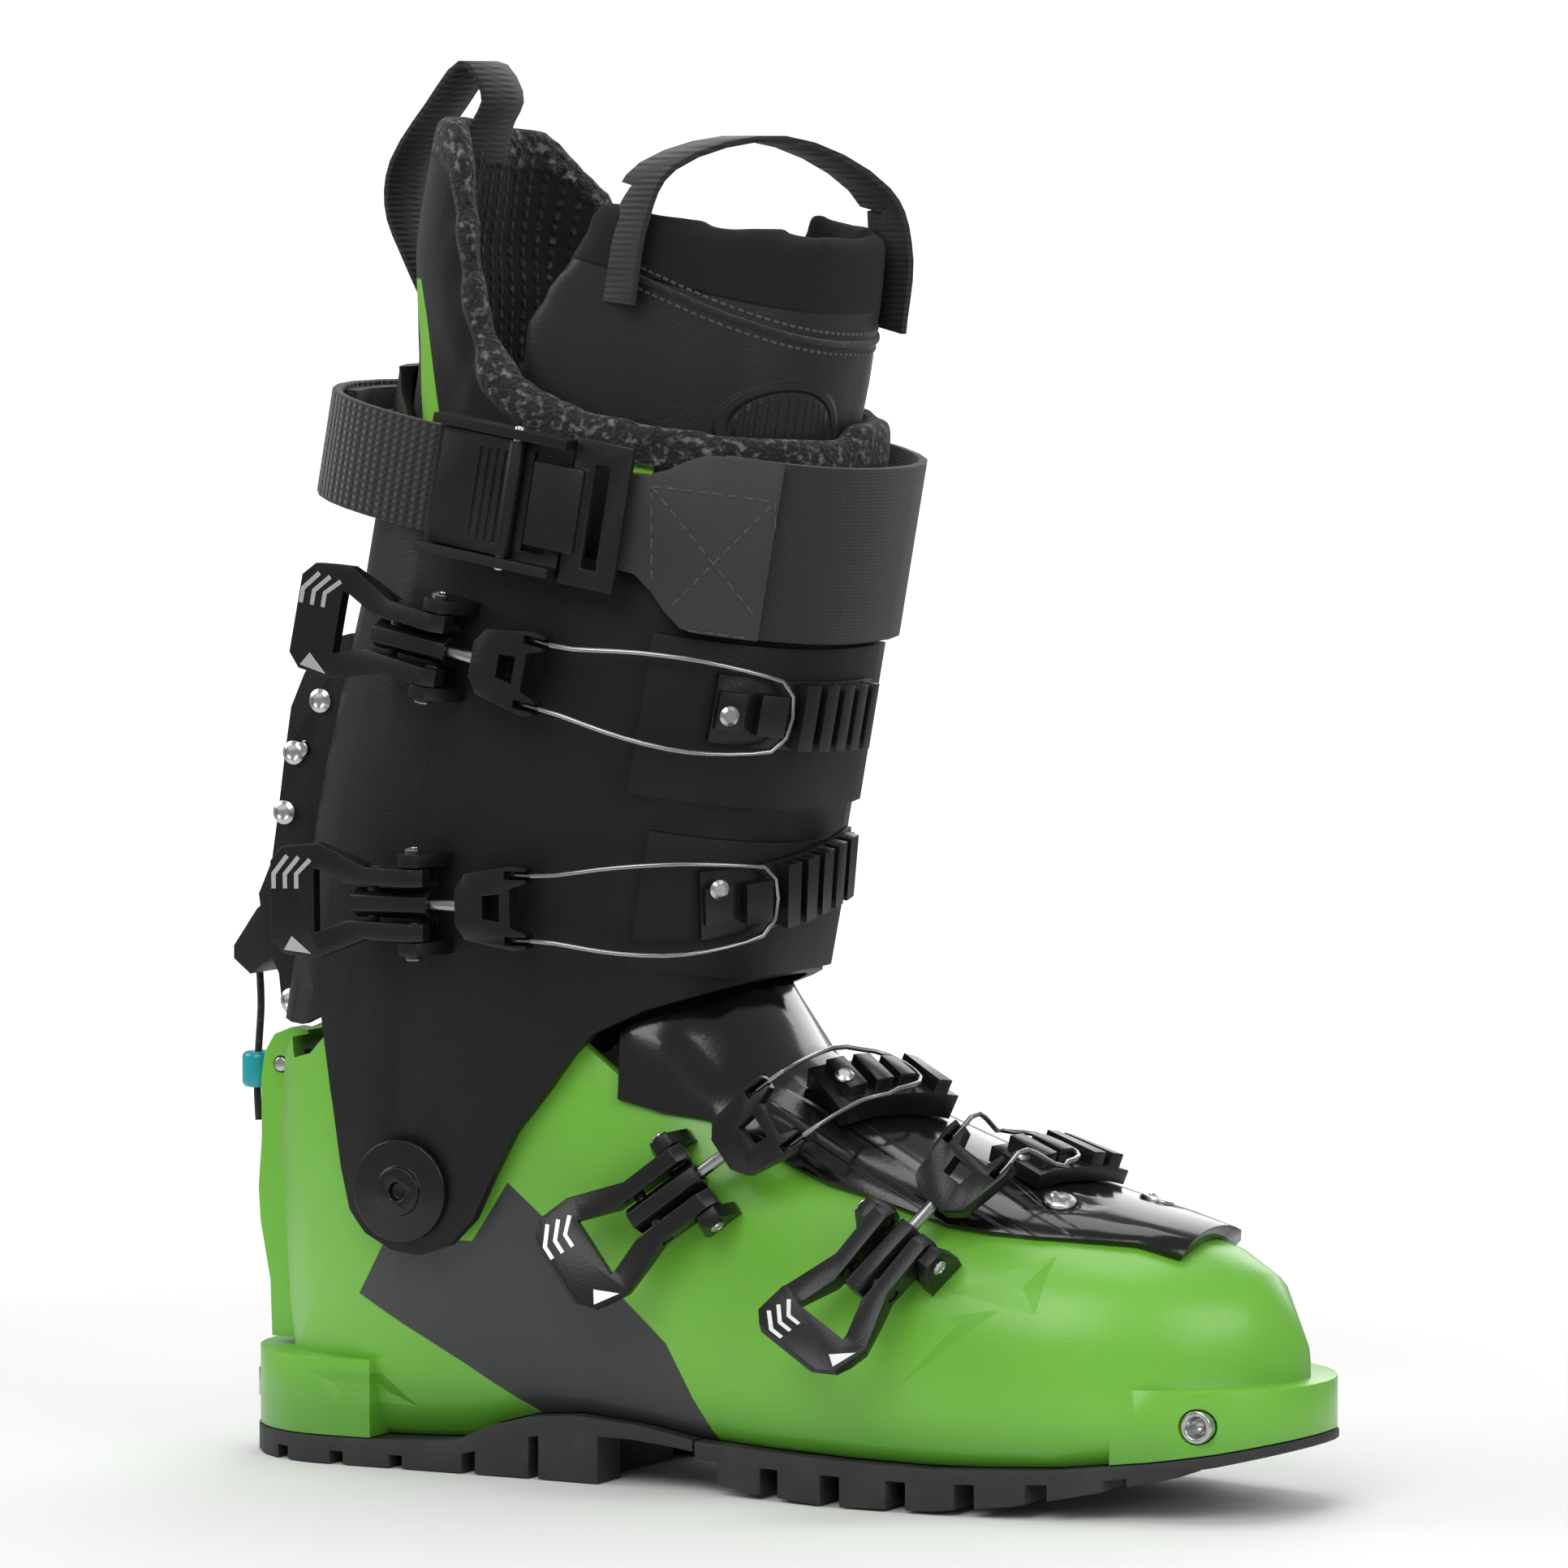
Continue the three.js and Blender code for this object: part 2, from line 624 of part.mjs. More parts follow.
function pivotBoltSolid(side) {
  const inner = ankleHalfWidth - shellWall + 0.4;
  const face = cuffHalfWidth + seat;
  const profile = [
    [0, inner], [pivotBolt.shank, inner], [pivotBolt.shank, face], [pivotBolt.head, face],
    [pivotBolt.head, face + pivotBolt.headHigh], [6.4, face + pivotBolt.headHigh],
    [6.4, face + 3.8], [2.4, face + 3.8], [2.4, face + 1.4], [0, face + 1.4],
  ];
  return turnedY(profile.map((p) => [p[0], side * p[1]]), 24, 0, ankleHeight);
}

// ---- Cuff body ----
const cuffOutline = [
  [-40, 292], [-12, 290], [8, 262], [24, 247], [60, 241], [140, 232], [140, 133], [107, 134.5],
  [89, 133], [84, 131],
  [66, 125], [54, 119], [48, 113], [40, 102], [32, 92], [26, 81], [20, 69], [13, 62], [4, 59], [-4, 60],
  [-12, 64],
  [-17, 70], [-20, 81], [-23, 98], [-28, 120], [-36, 117], [-80, 117],
];
const cuffPads = [
  { from: -57, to: 16, low: 71, high: 107 },
  { from: -64, to: 16, low: 116, high: 158 },
];

function legPatch(low, high, from, to, inner, outer, across = 12, up = 2) {
  const rings = [];
  for (let k = 0; k <= across; k++) {
    const turn = THREE.MathUtils.degToRad(from + ((to - from) * k) / across);
    const ring = [];
    for (let i = 0; i <= up; i++) ring.push(legPoint(low + ((high - low) * i) / up, turn, outer));
    for (let i = up; i >= 0; i--) ring.push(legPoint(low + ((high - low) * i) / up, turn, inner));
    rings.push(ring);
  }
  return ringSolid(rings);
}

function cuff() {
  const outline = sidePrism(cuffOutline.map((p) => legSide(p[0], p[1])), -90, 90);
  let body = legLoft(0, -30, 225);
  cuffPads.forEach((pad) => {
    body = body.add(legPatch(pad.low, pad.high, pad.from, pad.to, -1.5, padRise));
  });
  body = body.intersect(outline).subtract(legLoft(-cuffWall, -40, 240));
  body = body.subtract(box([-120, -21, 60], [-20, 21, 129]));
  return largest(body.subtract(rodY(pivotBolt.shank + seat, -90, 90, 0, ankleHeight)));
}

function collarOutline(side) {
  const rim = side < 0
    ? [[-40, 352], [-14, 356], [4, 357], [9, 350], [12, 336], [15, 318], [22, 300], [36, 287],
      [54, 280.5], [76, 276], [140, 268]]
    : [[-40, 352], [-14, 356], [0, 353], [8, 343], [20, 326], [32, 310], [48, 295], [70, 283], [140, 270]];
  return [...rim, [140, 60], [-80, 60]].map((p) => legSide(p[0], p[1]));
}

function collarKeep() {
  const ball = rodY(linerSplitRadius + splitGap, -90, 90, 0, ankleHeight, 40);
  return ball
    .add(wedge(collarFrontAngle))
    .add(box([-120, -90, 0], [0, 90, 113]))
    .add(rodY(rearNotchRadius, -16, 16, 0, ankleHeight, 40));
}

function linerCollar() {
  const outer = legLoft(-cuffWall - seat, 20, 288);
  const inner = legLoft(-cuffWall - seat - linerCollarWall, 10, 300);
  const outline = sidePrism(collarOutline(-1), -90, 0).add(sidePrism(collarOutline(1), 0, 90));
  return largest(outer.subtract(inner).intersect(outline).subtract(collarKeep()));
}

// The outer wing of the tongue reaches back inside the collar and slopes down to the rear.
function linerTongue() {
  const depth = cuffWall + seat + linerCollarWall + seat;
  const patch = legPatch(30, 264, -tongueWing, 76, -depth - 7, -depth - 0.5, 14, 6);
  const wingEdge = [[-40, 290], [14, 292], [24, 298], [33, 308], [40, 319], [47, 330], [54, 345],
    [54, 420], [-40, 420]];
  const aboveWing = sidePrism(wingEdge.map((p) => legSide(p[0], p[1])), -90, -6);
  return largest(patch.subtract(collarKeep()).subtract(aboveWing));
}

// Band of even thickness along a list of points, given its width direction.
function bandSolid(points, widthways, half, thick) {
  const path = new THREE.CatmullRomCurve3(points.map((p) => new THREE.Vector3(...p)));
  const rings = [];
  const pieces = 26;
  for (let i = 0; i <= pieces; i++) {
    const p = path.getPoint(i / pieces);
    const d = path.getTangent(i / pieces);
    const w = widthways.clone().addScaledVector(d, -widthways.dot(d)).normalize();
    const n = w.clone().cross(d).normalize();
    rings.push([[-1, -1], [1, -1], [1, 1], [-1, 1]].map((c) => {
      const q = p.clone().addScaledVector(w, c[0] * half).addScaledVector(n, (c[1] * thick) / 2);
      return [q.x, q.y, q.z];
    }));
  }
  return ringSolid(rings);
}

function heelPullLoop() {
  const outside = legPoint(226, Math.PI, -cuffWall - seat + 1.2);
  const inside = legPoint(262, Math.PI, -cuffWall - seat - linerCollarWall - 2);
  const high = legPoint(272, Math.PI, -cuffWall - seat - linerCollarWall - 2);
  const points = [
    outside,
    [outside[0] - 4.5, 0, outside[2] + 9],
    [outside[0] - 10, 0, outside[2] + 22],
    [outside[0] - 9, 0, outside[2] + 34],
    [outside[0] + 2, 0, outside[2] + 50],
    [high[0] - 3, 0, high[2] + 17],
    [high[0] + 3.5, 0, high[2] + 8],
    high,
    inside,
  ];
  return bandSolid(points, new THREE.Vector3(0, 1, 0), 11, 1.6);
}

const loopFoot = 86;

function tonguePullLoop() {
  const depth = cuffWall + seat + linerCollarWall + seat;
  const degrees = THREE.MathUtils.degToRad;
  const feet = [-loopFoot, 34].map((a) => legPoint(238, degrees(a), -depth + 2.4));
  const above = [-loopFoot, 34].map((a) => legPoint(258, degrees(a), -depth + 2.4));
  const middle = above[0].map((c, k) => (c + above[1][k]) / 2);
  const points = [
    feet[0],
    above[0],
    [above[0][0] * 0.8 + middle[0] * 0.2, above[0][1] * 0.86, above[0][2] + 14],
    [middle[0] + 2, middle[1], middle[2] + 26],
    [above[1][0] * 0.85 + middle[0] * 0.15, above[1][1] * 0.86, above[1][2] + 15],
    above[1],
    feet[1],
  ];
  const span = new THREE.Vector3(...feet[1]).sub(new THREE.Vector3(...feet[0]));
  const widthways = span.cross(new THREE.Vector3(0, 0, 1)).normalize();
  const under = legPatch(30, 268, -tongueWing - 6, 88, -depth - 30, -depth - 0.5 + seat * 2, 12, 6);
  return largest(bandSolid(points, widthways, 9, 1.6).subtract(under));
}

// Path of the strap round the leg; turn as in legPoint.
function strapPoint(turn, s, offset) {
  const depth = (strap.front - strap.rear) / 2;
  const power = 2.5;
  const half = strap.half * (cuffHalfWidth / 52);
  const c = Math.cos(turn);
  const n = Math.sin(turn);
  const f = Math.sign(c) * (depth + offset) * Math.abs(c) ** (2 / power);
  const y = Math.sign(n) * (half + offset) * Math.abs(n) ** (2 / power);
  return legWorld((strap.front + strap.rear) / 2 + f, y, legRise(strap.mid) + s);
}

function strapArc(from, to, low, high, inner, outer, pieces) {
  const rings = [];
  for (let i = 0; i <= pieces; i++) {
    const u = i / pieces;
    const turn = THREE.MathUtils.degToRad(from + (to - from) * u);
    const a = typeof low === 'function' ? low(u) : low;
    const b = typeof high === 'function' ? high(u) : high;
    rings.push([strapPoint(turn, a, inner), strapPoint(turn, b, inner), strapPoint(turn, b, outer),
      strapPoint(turn, a, outer)]);
  }
  return ringSolid(rings);
}

function powerStrap() {
  const half = strap.band / 2;
  return strapArc(-52, 128, (u) => -half - 3 + 9 * ease(u, 0.6, 1),
    (u) => half - 3 - 9 * ease(u, 0.6, 1), -strap.thick, 0, 18);
}

function strapHookTab() {
  const half = strap.band / 2;
  const low = (u) => -13 - (half - 10) * ease(u, 0.15, 0.55);
  const high = (u) => 12 + (half - 15) * ease(u, 0.15, 0.55);
  return strapArc(-76, -38, low, high, seat, seat + 1.8, 10);
}

function strapWebbing() {
  const half = strap.webbing / 2;
  return strapArc(124, 268, -half, half, seat, seat + strap.thick, 16);
}

function strapRearPad() {
  const half = strap.webbing / 2 - 1;
  const pad = strapArc(162, 198, -half, half, -3, 0, 8);
  const near = legWorld(legRear(strap.mid) - seat, 0, legRise(strap.mid));
  const far = strapPoint(Math.PI, 0, -1.5);
  const boss = box([far[0], -11, near[2] - 9], [near[0] + 8, 11, near[2] + 9]);
  return pad.add(boss).subtract(legLoft(seat, 100, 225));
}

// The strap buckle lies flat on the outer side: a is ahead along the leg front, h is height along the leg.
function strapBlock(a0, a1, h0, h1, out0, out1) {
  const half = strap.half * (cuffHalfWidth / 52);
  const geometry = new THREE.BoxGeometry(a1 - a0, out1 - out0, h1 - h0);
  geometry.rotateY(legLean);
  const at = legWorld((a0 + a1) / 2, -half - (out0 + out1) / 2, legRise(strap.mid) + (h0 + h1) / 2);
  geometry.translate(at[0], at[1], at[2]);
  return toSolid(geometry);
}

function strapRod(a, out, h0, h1, radius, sides = 14) {
  const half = strap.half * (cuffHalfWidth / 52);
  const geometry = new THREE.CylinderGeometry(radius, radius, h1 - h0, sides);
  geometry.rotateX(Math.PI / 2);
  geometry.rotateY(legLean);
  const at = legWorld(a, -half - out, legRise(strap.mid) + (h0 + h1) / 2);
  geometry.translate(at[0], at[1], at[2]);
  return toSolid(geometry);
}

const camPin = { a: 8, out: 7.5, radius: 1.4 };

function strapBuckleFrame() {
  const base = 3;
  let frame = strapBlock(-16, 23, -18, 18, base, base + 2);
  frame = frame.add(strapBlock(-16, 23, -18, -15.5, base, base + 7));
  frame = frame.add(strapBlock(-16, 23, 15.5, 18, base, base + 7));
  frame = frame.subtract(strapBlock(12, 19, -13, 13, base - 1, base + 6));
  return frame.subtract(strapRod(camPin.a, camPin.out, -20, 20, camPin.radius + seat));
}

function strapCamLever() {
  let lever = strapBlock(-13, 8, -15, 15, 5.4, 8.4);
  lever = lever.add(strapRod(camPin.a, camPin.out, -15, 15, 2.15));
  for (let i = 0; i < 4; i++) lever = lever.subtract(strapBlock(-2 + i * 2.4, -1 + i * 2.4, -12, 12, 7.8,
    9));
  return lever.subtract(strapRod(camPin.a, camPin.out, -20, 20, camPin.radius + seat));
}

function strapCamPin() {
  return strapRod(camPin.a, camPin.out, -18.8, 18.8, camPin.radius);
}

function strapHook() {
  let hook = strapBlock(24, 40, -19, 19, 3.6, 5.8);
  hook = hook.add(strapBlock(13.5, 28, -11, 11, 5.8, 7.8));
  hook = hook.add(strapBlock(13.5, 16, -11, 11, 4.2, 7.8));
  return hook.subtract(strapBlock(30, 34.5, -14, 13, 2, 9));
}

// ---- Walk mechanism ----
const bracketOutline = [
  [-33, 219], [-41, 217], [-47, 208], [-51, 199], [-53, 186], [-55, 171], [-57, 158], [-61, 149],
  [-59, 136], [-55, 128],
  [-54, 119], [-51, 116], [-46, 118], [-43, 128], [-40, 150], [-34, 186], [-26, 212],
];

function spineBracket() {
  const outer = bracket.inner + bracket.wall;
  let plate = sidePrism(bracketOutline.map((p) => legSide(p[0], p[1])), -outer, outer);
  const web = legLoft(seat + bracket.web, -30, 225).intersect(box([-120, -30, bracket.lowest],
    [0, 30, 300]));
  const channel = box([-140, -bracket.inner, 60], [20, bracket.inner, 300]).subtract(web);
  plate = plate.subtract(channel).subtract(legLoft(seat, -30, 225));
  const place = legSide(walkPivot.x, walkPivot.z);
  return largest(plate.subtract(rodY(walkPivot.radius + seat, -40, 40, place[0], place[1])));
}

function walkLever() {
  const outline = [
    [-44.6, 186], [-44.2, 191], [-47.5, 193], [-51.5, 190], [-54, 176], [-57, 162], [-60, 150],
    [-67, 144], [-74, 134],
    [-74, 130.5], [-69, 126.5], [-63, 131], [-58, 140], [-54.5, 152], [-50, 168], [-47, 178],
  ];
  const place = legSide(walkPivot.x, walkPivot.z);
  let lever = sidePrism(outline.map((p) => legSide(p[0], p[1])), -walkHalf, walkHalf);
  const groove = [[-50, 180], [-60, 180], [-62, 156], [-56.5, 158], [-52, 172]];
  lever = lever.subtract(sidePrism(groove.map((p) => legSide(p[0], p[1])), -7, 7));
  return largest(lever.subtract(rodY(walkPivot.radius + seat, -40, 40, place[0], place[1])));
}

function walkPin() {
  const outer = bracket.inner + bracket.wall + 0.8;
  const place = legSide(walkPivot.x, walkPivot.z);
  return rodY(walkPivot.radius, -outer, outer, place[0], place[1], 16);
}

const cordTop = legSide(-71.5, 127.2);

function pullCord() {
  const circle = new THREE.Shape();
  circle.absarc(0, 0, cordRadius, 0, Math.PI * 2);
  const x = cordTop[0];
  const z = cordTop[1];
  const path = new THREE.CatmullRomCurve3([[0, 0], [0.4, -10], [-0.4, -22], [-0.8, -32],
    [-0.4, -41]].map((p) => new THREE.Vector3(x + p[0], 0, z + p[1])));
  return toSolid(new THREE.ExtrudeGeometry(circle, { steps: 16, curveSegments: 4, extrudePath: path,
    bevelEnabled: false }));
}

function cordBead() {
  const hole = cordRadius + seat;
  const profile = [[hole, -32], [3.6, -32], [4.4, -31], [4.4, -23.4], [3.6, -22.4], [hole, -22.4],
    [hole, -32]];
  const geometry = new THREE.LatheGeometry(profile.map((p) => new THREE.Vector2(p[0], p[1])), 18);
  geometry.rotateX(Math.PI / 2);
  geometry.translate(cordTop[0] - 0.6, 0, cordTop[1]);
  return toSolid(geometry);
}

// ---- Buckles: x runs to the ladder, y stands off the boot, z is across ----
const lever = { pivotHigh: 9.5, linkBack: -13, linkHigh: 8, boss: 2.2, trunnion: 1.6, reach: -42 };
const armSpan = [4.8, 9.4];
const earSpan = [9.8, 13.2];
const cableRadius = 0.75;
const cableSlot = cableRadius + 0.4;
const cablePivot = 41.2;
const toothRise = 5.6;

function plateXY(points, low, high) {
  const shape = new THREE.Shape(points.map((p) => new THREE.Vector2(p[0], p[1])));
  const geometry = new THREE.ExtrudeGeometry(shape, { depth: high - low, bevelEnabled: false });
  geometry.translate(0, 0, low);
  return toSolid(geometry);
}

function plateXZ(points, low, high) {
  const shape = new THREE.Shape(points.map((p) => new THREE.Vector2(p[0], p[1])));
  const geometry = new THREE.ExtrudeGeometry(shape, { depth: high - low, bevelEnabled: false });
  geometry.rotateX(Math.PI / 2);
  geometry.translate(0, high, 0);
  return toSolid(geometry);
}

function rodZ(radius, low, high, x, y, sides = 8) {
  const geometry = new THREE.CylinderGeometry(radius, radius, high - low, sides);
  geometry.rotateX(Math.PI / 2);
  geometry.translate(x, y, (low + high) / 2);
  return toSolid(geometry);
}

function rodX(radius, low, high, y, z, sides = 8) {
  const geometry = new THREE.CylinderGeometry(radius, radius, high - low, sides);
  geometry.rotateZ(Math.PI / 2);
  geometry.translate((low + high) / 2, y, z);
  return toSolid(geometry);
}

function buckleBase() {
  const ear = [[-5, -8], [6, -8], [6, 4], [2.6, 12.8], [-2.6, 12.8], [-5, 4]];
  let base = box([-4.5, -8, -earSpan[1]], [2, 0.8, earSpan[1]]);
  [-1, 1].forEach((side) => {
    const low = side < 0 ? -earSpan[1] : earSpan[0];
    const high = side < 0 ? -earSpan[0] : earSpan[1];
    base = base.add(plateXY(ear, low, high));
    const from = Math.min(side * (armSpan[0] + 0.5), side * (earSpan[1] + 0.9));
    const to = Math.max(side * (armSpan[0] + 0.5), side * (earSpan[1] + 0.9));
    base = base.add(rodZ(lever.boss, from, to, 0, lever.pivotHigh));
  });
  return base;
}

function buckleLever() {
  const side = [
    [4, 7.5], [4, 11.5], [1, 13.8], [-16, 11.2], [-28, 9.6], [-41, 13.6], [lever.reach, 12], [-34, 7.4],
    [-20, 5.2], [0, 5.2],
  ];
  const plan = [
    [5, 9.4], [-14, 9.4], [-29, 15], [-38, 14], [lever.reach - 1, 8], [lever.reach - 1, -8], [-38, -14],
    [-29, -15],
    [-14, -9.4], [5, -9.4],
  ];
  let body = plateXY(side, -16, 16).intersect(plateXZ(plan, 0, 20));
  const window = [[6, 4.8], [-19.5, 4.8], [-30, 8.4], [-30, -8.4], [-19.5, -4.8], [6, -4.8]];
  body = body.subtract(plateXZ(window, -1, 24));
  body = body.subtract(rodZ(lever.boss + 0.3, -20, 20, 0, lever.pivotHigh));
  return body.subtract(rodZ(lever.trunnion + 0.3, -20, 20, lever.linkBack, lever.linkHigh));
}

// The link pieces are drawn about the link pin, so one turn lays them down towards the ladder.
function buckleBarrel() {
  const bar = rodX(3.9, -5, 17, 0, 0, 6);
  return bar.add(rodZ(lever.trunnion, -9, 9, 0, 0)).subtract(rodX(2.15, 9, 20, 0, 0));
}

function buckleRod() {
  return rodX(1.75, 9.4, 29.4, 0, 0);
}

// The cable swings up on its own ends, so each socket in the yoke is open to the outer side.
function buckleYoke() {
  const outline = [
    [25, 4.6], [28, 8.6], [42, 11], [45.5, 10.4], [45.5, 6.6], [41, 5], [41, -5], [45.5, -6.6],
    [45.5, -10.4], [42, -11],
    [28, -8.6], [25, -4.6],
  ];
  let yoke = plateXZ(outline, -2.3, 2.3);
  yoke = yoke.subtract(plateXZ([[33, 3], [38, 3.6], [38, -3.6], [33, -3]], -5, 5));
  yoke = yoke.subtract(rodX(2.15, 20, 29.8, 0, 0));
  [-8.5, 8.5].forEach((z) => {
    const low = z - cableSlot;
    const high = z + cableSlot;
    yoke = yoke.subtract(rodX(cableSlot, cablePivot - 1.6, 50, 0, z, 6));
    yoke = yoke.subtract(plateXZ([[cablePivot - 1.8, low], [50, low], [50, high],
      [cablePivot - 1.8, high]], 0, 3));
  });
  return yoke;
}

const footInside = new THREE.Vector3(110, 0, 45);
const legInside = new THREE.Vector3(25, 0, 150);
const footSurface = (x, turn) => footPoint(x, turn);
const legSurface = (s, turn) => legPoint(s, turn);
const buckles = [
  { name: 'toe', surface: footSurface, inside: footInside, u: 141.5, v: Math.PI - 0.57, heading: [0.48,
    0.1, 0.8], boss: 3, rest: tongueWall + 3, hook: 52, before: 2, teeth: 2, form: () => tongueSkin },
  { name: 'instep', surface: footSurface, inside: footInside, u: 80, v: Math.PI - 0.36, heading: [0.78,
    0.1, 0.6], boss: 5, rest: tongueWall + 5, hook: 60, before: 3, teeth: 1, form: () => tongueSkin },
  { name: 'cuff_lower', surface: legSurface, inside: legInside, u: 76.5, v: -1.68, heading: [1, 0, 0],
    boss: 0, rest: padRise, hook: 92, teeth: 5, form: () => legLoft(seat, -30, 225) },
  { name: 'cuff_upper', surface: legSurface, inside: legInside, u: 143, v: -1.78, heading: [0.985, 0,
    -0.2], boss: 0, rest: padRise, hook: 92, teeth: 5, form: () => legLoft(seat, -30, 225) },
];

buckles.forEach((buckle) => {
  const inside = buckle.inside.clone();
  if (buckle.surface === legSurface) {
    const near = legPoint(buckle.u, buckle.v);
    inside.set(near[0] + 10, 0, near[2]);
  }
  buckle.frames = walk(buckle.surface, buckle.u, buckle.v, new THREE.Vector3(...buckle.heading),
    inside, 150);
  const start = buckle.frames[0];
  buckle.place = new THREE.Matrix4().makeBasis(start.d, start.n, start.b).setPosition(start.p);
  const linkPin = new THREE.Vector3(lever.linkBack, lever.linkHigh, 0).applyMatrix4(buckle.place);
  buckle.tilt = -1;
  for (let run = 10; run <= 36; run += 2) {
    const target = along(buckle.frames, run);
    const aim = target.p.clone().addScaledVector(target.n, buckle.rest + 4.4).sub(linkPin);
    buckle.tilt = Math.max(buckle.tilt, Math.atan2(aim.dot(start.n), aim.dot(start.d)));
  }
  buckle.link = new THREE.Matrix4().makeTranslation(lever.linkBack, lever.linkHigh, 0);
  buckle.link.multiply(new THREE.Matrix4().makeRotationZ(buckle.tilt));
  buckle.link.premultiply(buckle.place);
});

function moved(solid, matrix) {
  return solid.transform(matrix.elements.slice());
}

function buckleCable(buckle) {
  const hookHigh = buckle.rest + 4.4;
  const ends = [-8.5, 8.5].map((z) => [cablePivot + 0.4, 45, 50].map((x) => new THREE.Vector3(x, 0,
    z).applyMatrix4(buckle.link)));
  const points = [...ends[0]];
  const middle = [];
  const first = 38;
  const last = buckle.hook - 9;
  const bows = 3;
  for (let i = 1; i <= bows; i++) {
    const run = first + ((last - first) * i) / bows;
    const bow = 8.5 + 3.5 * Math.sin((Math.PI * i) / (bows + 0.6));
    middle.push([run, bow]);
  }
  const turnRound = [[buckle.hook - 4, 9], [buckle.hook - 0.8, 5.4]];
  const outward = [...middle, ...turnRound];
  outward.forEach(([run, bow]) => points.push(new THREE.Vector3(...onFrame(along(buckle.frames, run),
    0, hookHigh, -bow))));
  points.push(new THREE.Vector3(...onFrame(along(buckle.frames, buckle.hook), 0, hookHigh, 0)));
  outward.reverse().forEach(([run, bow]) => points.push(new THREE.Vector3(...onFrame(along(buckle.frames,
    run), 0, hookHigh, bow))));
  points.push(...ends[1].reverse());
  const path = new THREE.CatmullRomCurve3(points, false, 'centripetal');
  const circle = new THREE.Shape();
  circle.absarc(0, 0, cableRadius, 0, Math.PI * 2);
  return toSolid(new THREE.ExtrudeGeometry(circle, { steps: 28, curveSegments: 3, extrudePath: path,
    bevelEnabled: false }));
}

function ladder(buckle) {
  const frames = buckle.frames;
  const start = buckle.hook - (buckle.before ? buckle.before * 6.6 + 3 : 19);
  const low = buckle.rest - buckle.boss - 3;
  const base = buckle.rest + 1.9;
  const high = buckle.rest + toothRise;
  const end = buckle.hook + 3.4 + buckle.teeth * 6.6;
  let body = strip(frames, start, end, low, base, 9, 6);
  if (buckle.before) {
    for (let i = 0; i < buckle.before; i++) {
      const to = buckle.hook - 2.4 - i * 6.6;
      body = body.add(strip(frames, to - 4.2, to, low, high, i ? 6.4 : 5.2, 1));
    }
  } else {
    body = body.add(strip(frames, start + 0.5, start + 7, low, high - 1, 5, 1));
    body = body.add(strip(frames, buckle.hook - 9, buckle.hook - 2.2, low, high, 5.4, 1));
  }
  for (let i = 0; i < buckle.teeth; i++) {
    const from = buckle.hook + 2.4 + i * 6.6;
    body = body.add(strip(frames, from, from + 4.2, low, high, 8.6, 1));
  }
  return body;
}

const solids = {};
solids.lower_shell = lowerShell();
solids.outsole_heel = outsoleHeel();
solids.outsole_forefoot = outsoleForefoot();
solids.toe_insert_lateral = toeInsert(-1);
solids.toe_insert_medial = toeInsert(1);
solids.heel_pin_insert = heelPinInsert();
solids.boot_board = bootBoard();
solids.liner_foot = linerFoot();
solids.instep_tongue = instepTongue();
solids.tongue_screw_lateral = tongueScrew(0, 0);
solids.tongue_screw_medial = tongueScrew(1, 0);
solids.pivot_bolt_lateral = pivotBoltSolid(-1);
solids.pivot_bolt_medial = pivotBoltSolid(1);
solids.lock_pin = rodY(lockPin.radius, -spine.half - 0.5, spine.half + 0.5, lockPin.x, lockPin.z, 12);
solids.cuff = cuff();
solids.liner_collar = linerCollar();
solids.liner_tongue = linerTongue();
solids.heel_pull_loop = heelPullLoop();
solids.tongue_pull_loop = tonguePullLoop();
solids.power_strap = powerStrap();
solids.strap_hook_tab = strapHookTab();
solids.strap_webbing = strapWebbing();
solids.strap_rear_pad = strapRearPad();
solids.strap_buckle_frame = strapBuckleFrame();
solids.strap_cam_lever = strapCamLever();
solids.strap_cam_pin = strapCamPin();
solids.strap_hook = strapHook();
solids.spine_bracket = spineBracket();
solids.walk_lever = walkLever();
solids.walk_pin = walkPin();
solids.pull_cord = pullCord();
solids.cord_bead = cordBead();
const tongueSkin = tongueForm(tongueWall + seat * 2.4, tongueWall + seat * 2.4, 1).add(footLoft(seat));
buckles.forEach((buckle) => {
  const form = buckle.form();
  solids['buckle_' + buckle.name + '_base'] = largest(moved(buckleBase(), buckle.place).subtract(form));
  solids['buckle_' + buckle.name + '_lever'] = moved(buckleLever(), buckle.place);
  solids['buckle_' + buckle.name + '_barrel'] = moved(buckleBarrel(), buckle.link);
  solids['buckle_' + buckle.name + '_rod'] = moved(buckleRod(), buckle.link);
  solids['buckle_' + buckle.name + '_yoke'] = moved(buckleYoke(), buckle.link);
  solids['buckle_' + buckle.name + '_cable'] = buckleCable(buckle);
  const under = buckle.surface === legSurface ? legLoft(padRise + seat * 2, -30, 225) : tongueSkin;
  solids['ladder_' + buckle.name] = largest(ladder(buckle).subtract(under));
});

const finish = {
  green: ['lower_shell'],
  rubber: ['outsole_heel', 'outsole_forefoot'],
  gloss: ['instep_tongue'],
  textile: [
    'liner_foot', 'liner_collar', 'liner_tongue', 'heel_pull_loop', 'tongue_pull_loop', 'power_strap',
      'strap_hook_tab',
    'strap_webbing', 'pull_cord',
  ],
  steel: [
    'toe_insert_lateral', 'toe_insert_medial', 'heel_pin_insert', 'lock_pin', 'strap_cam_pin', 'walk_pin',
    ...buckles.flatMap((b) => ['buckle_' + b.name + '_rod', 'buckle_' + b.name + '_cable']),
  ],
  teal: ['cord_bead'],
};

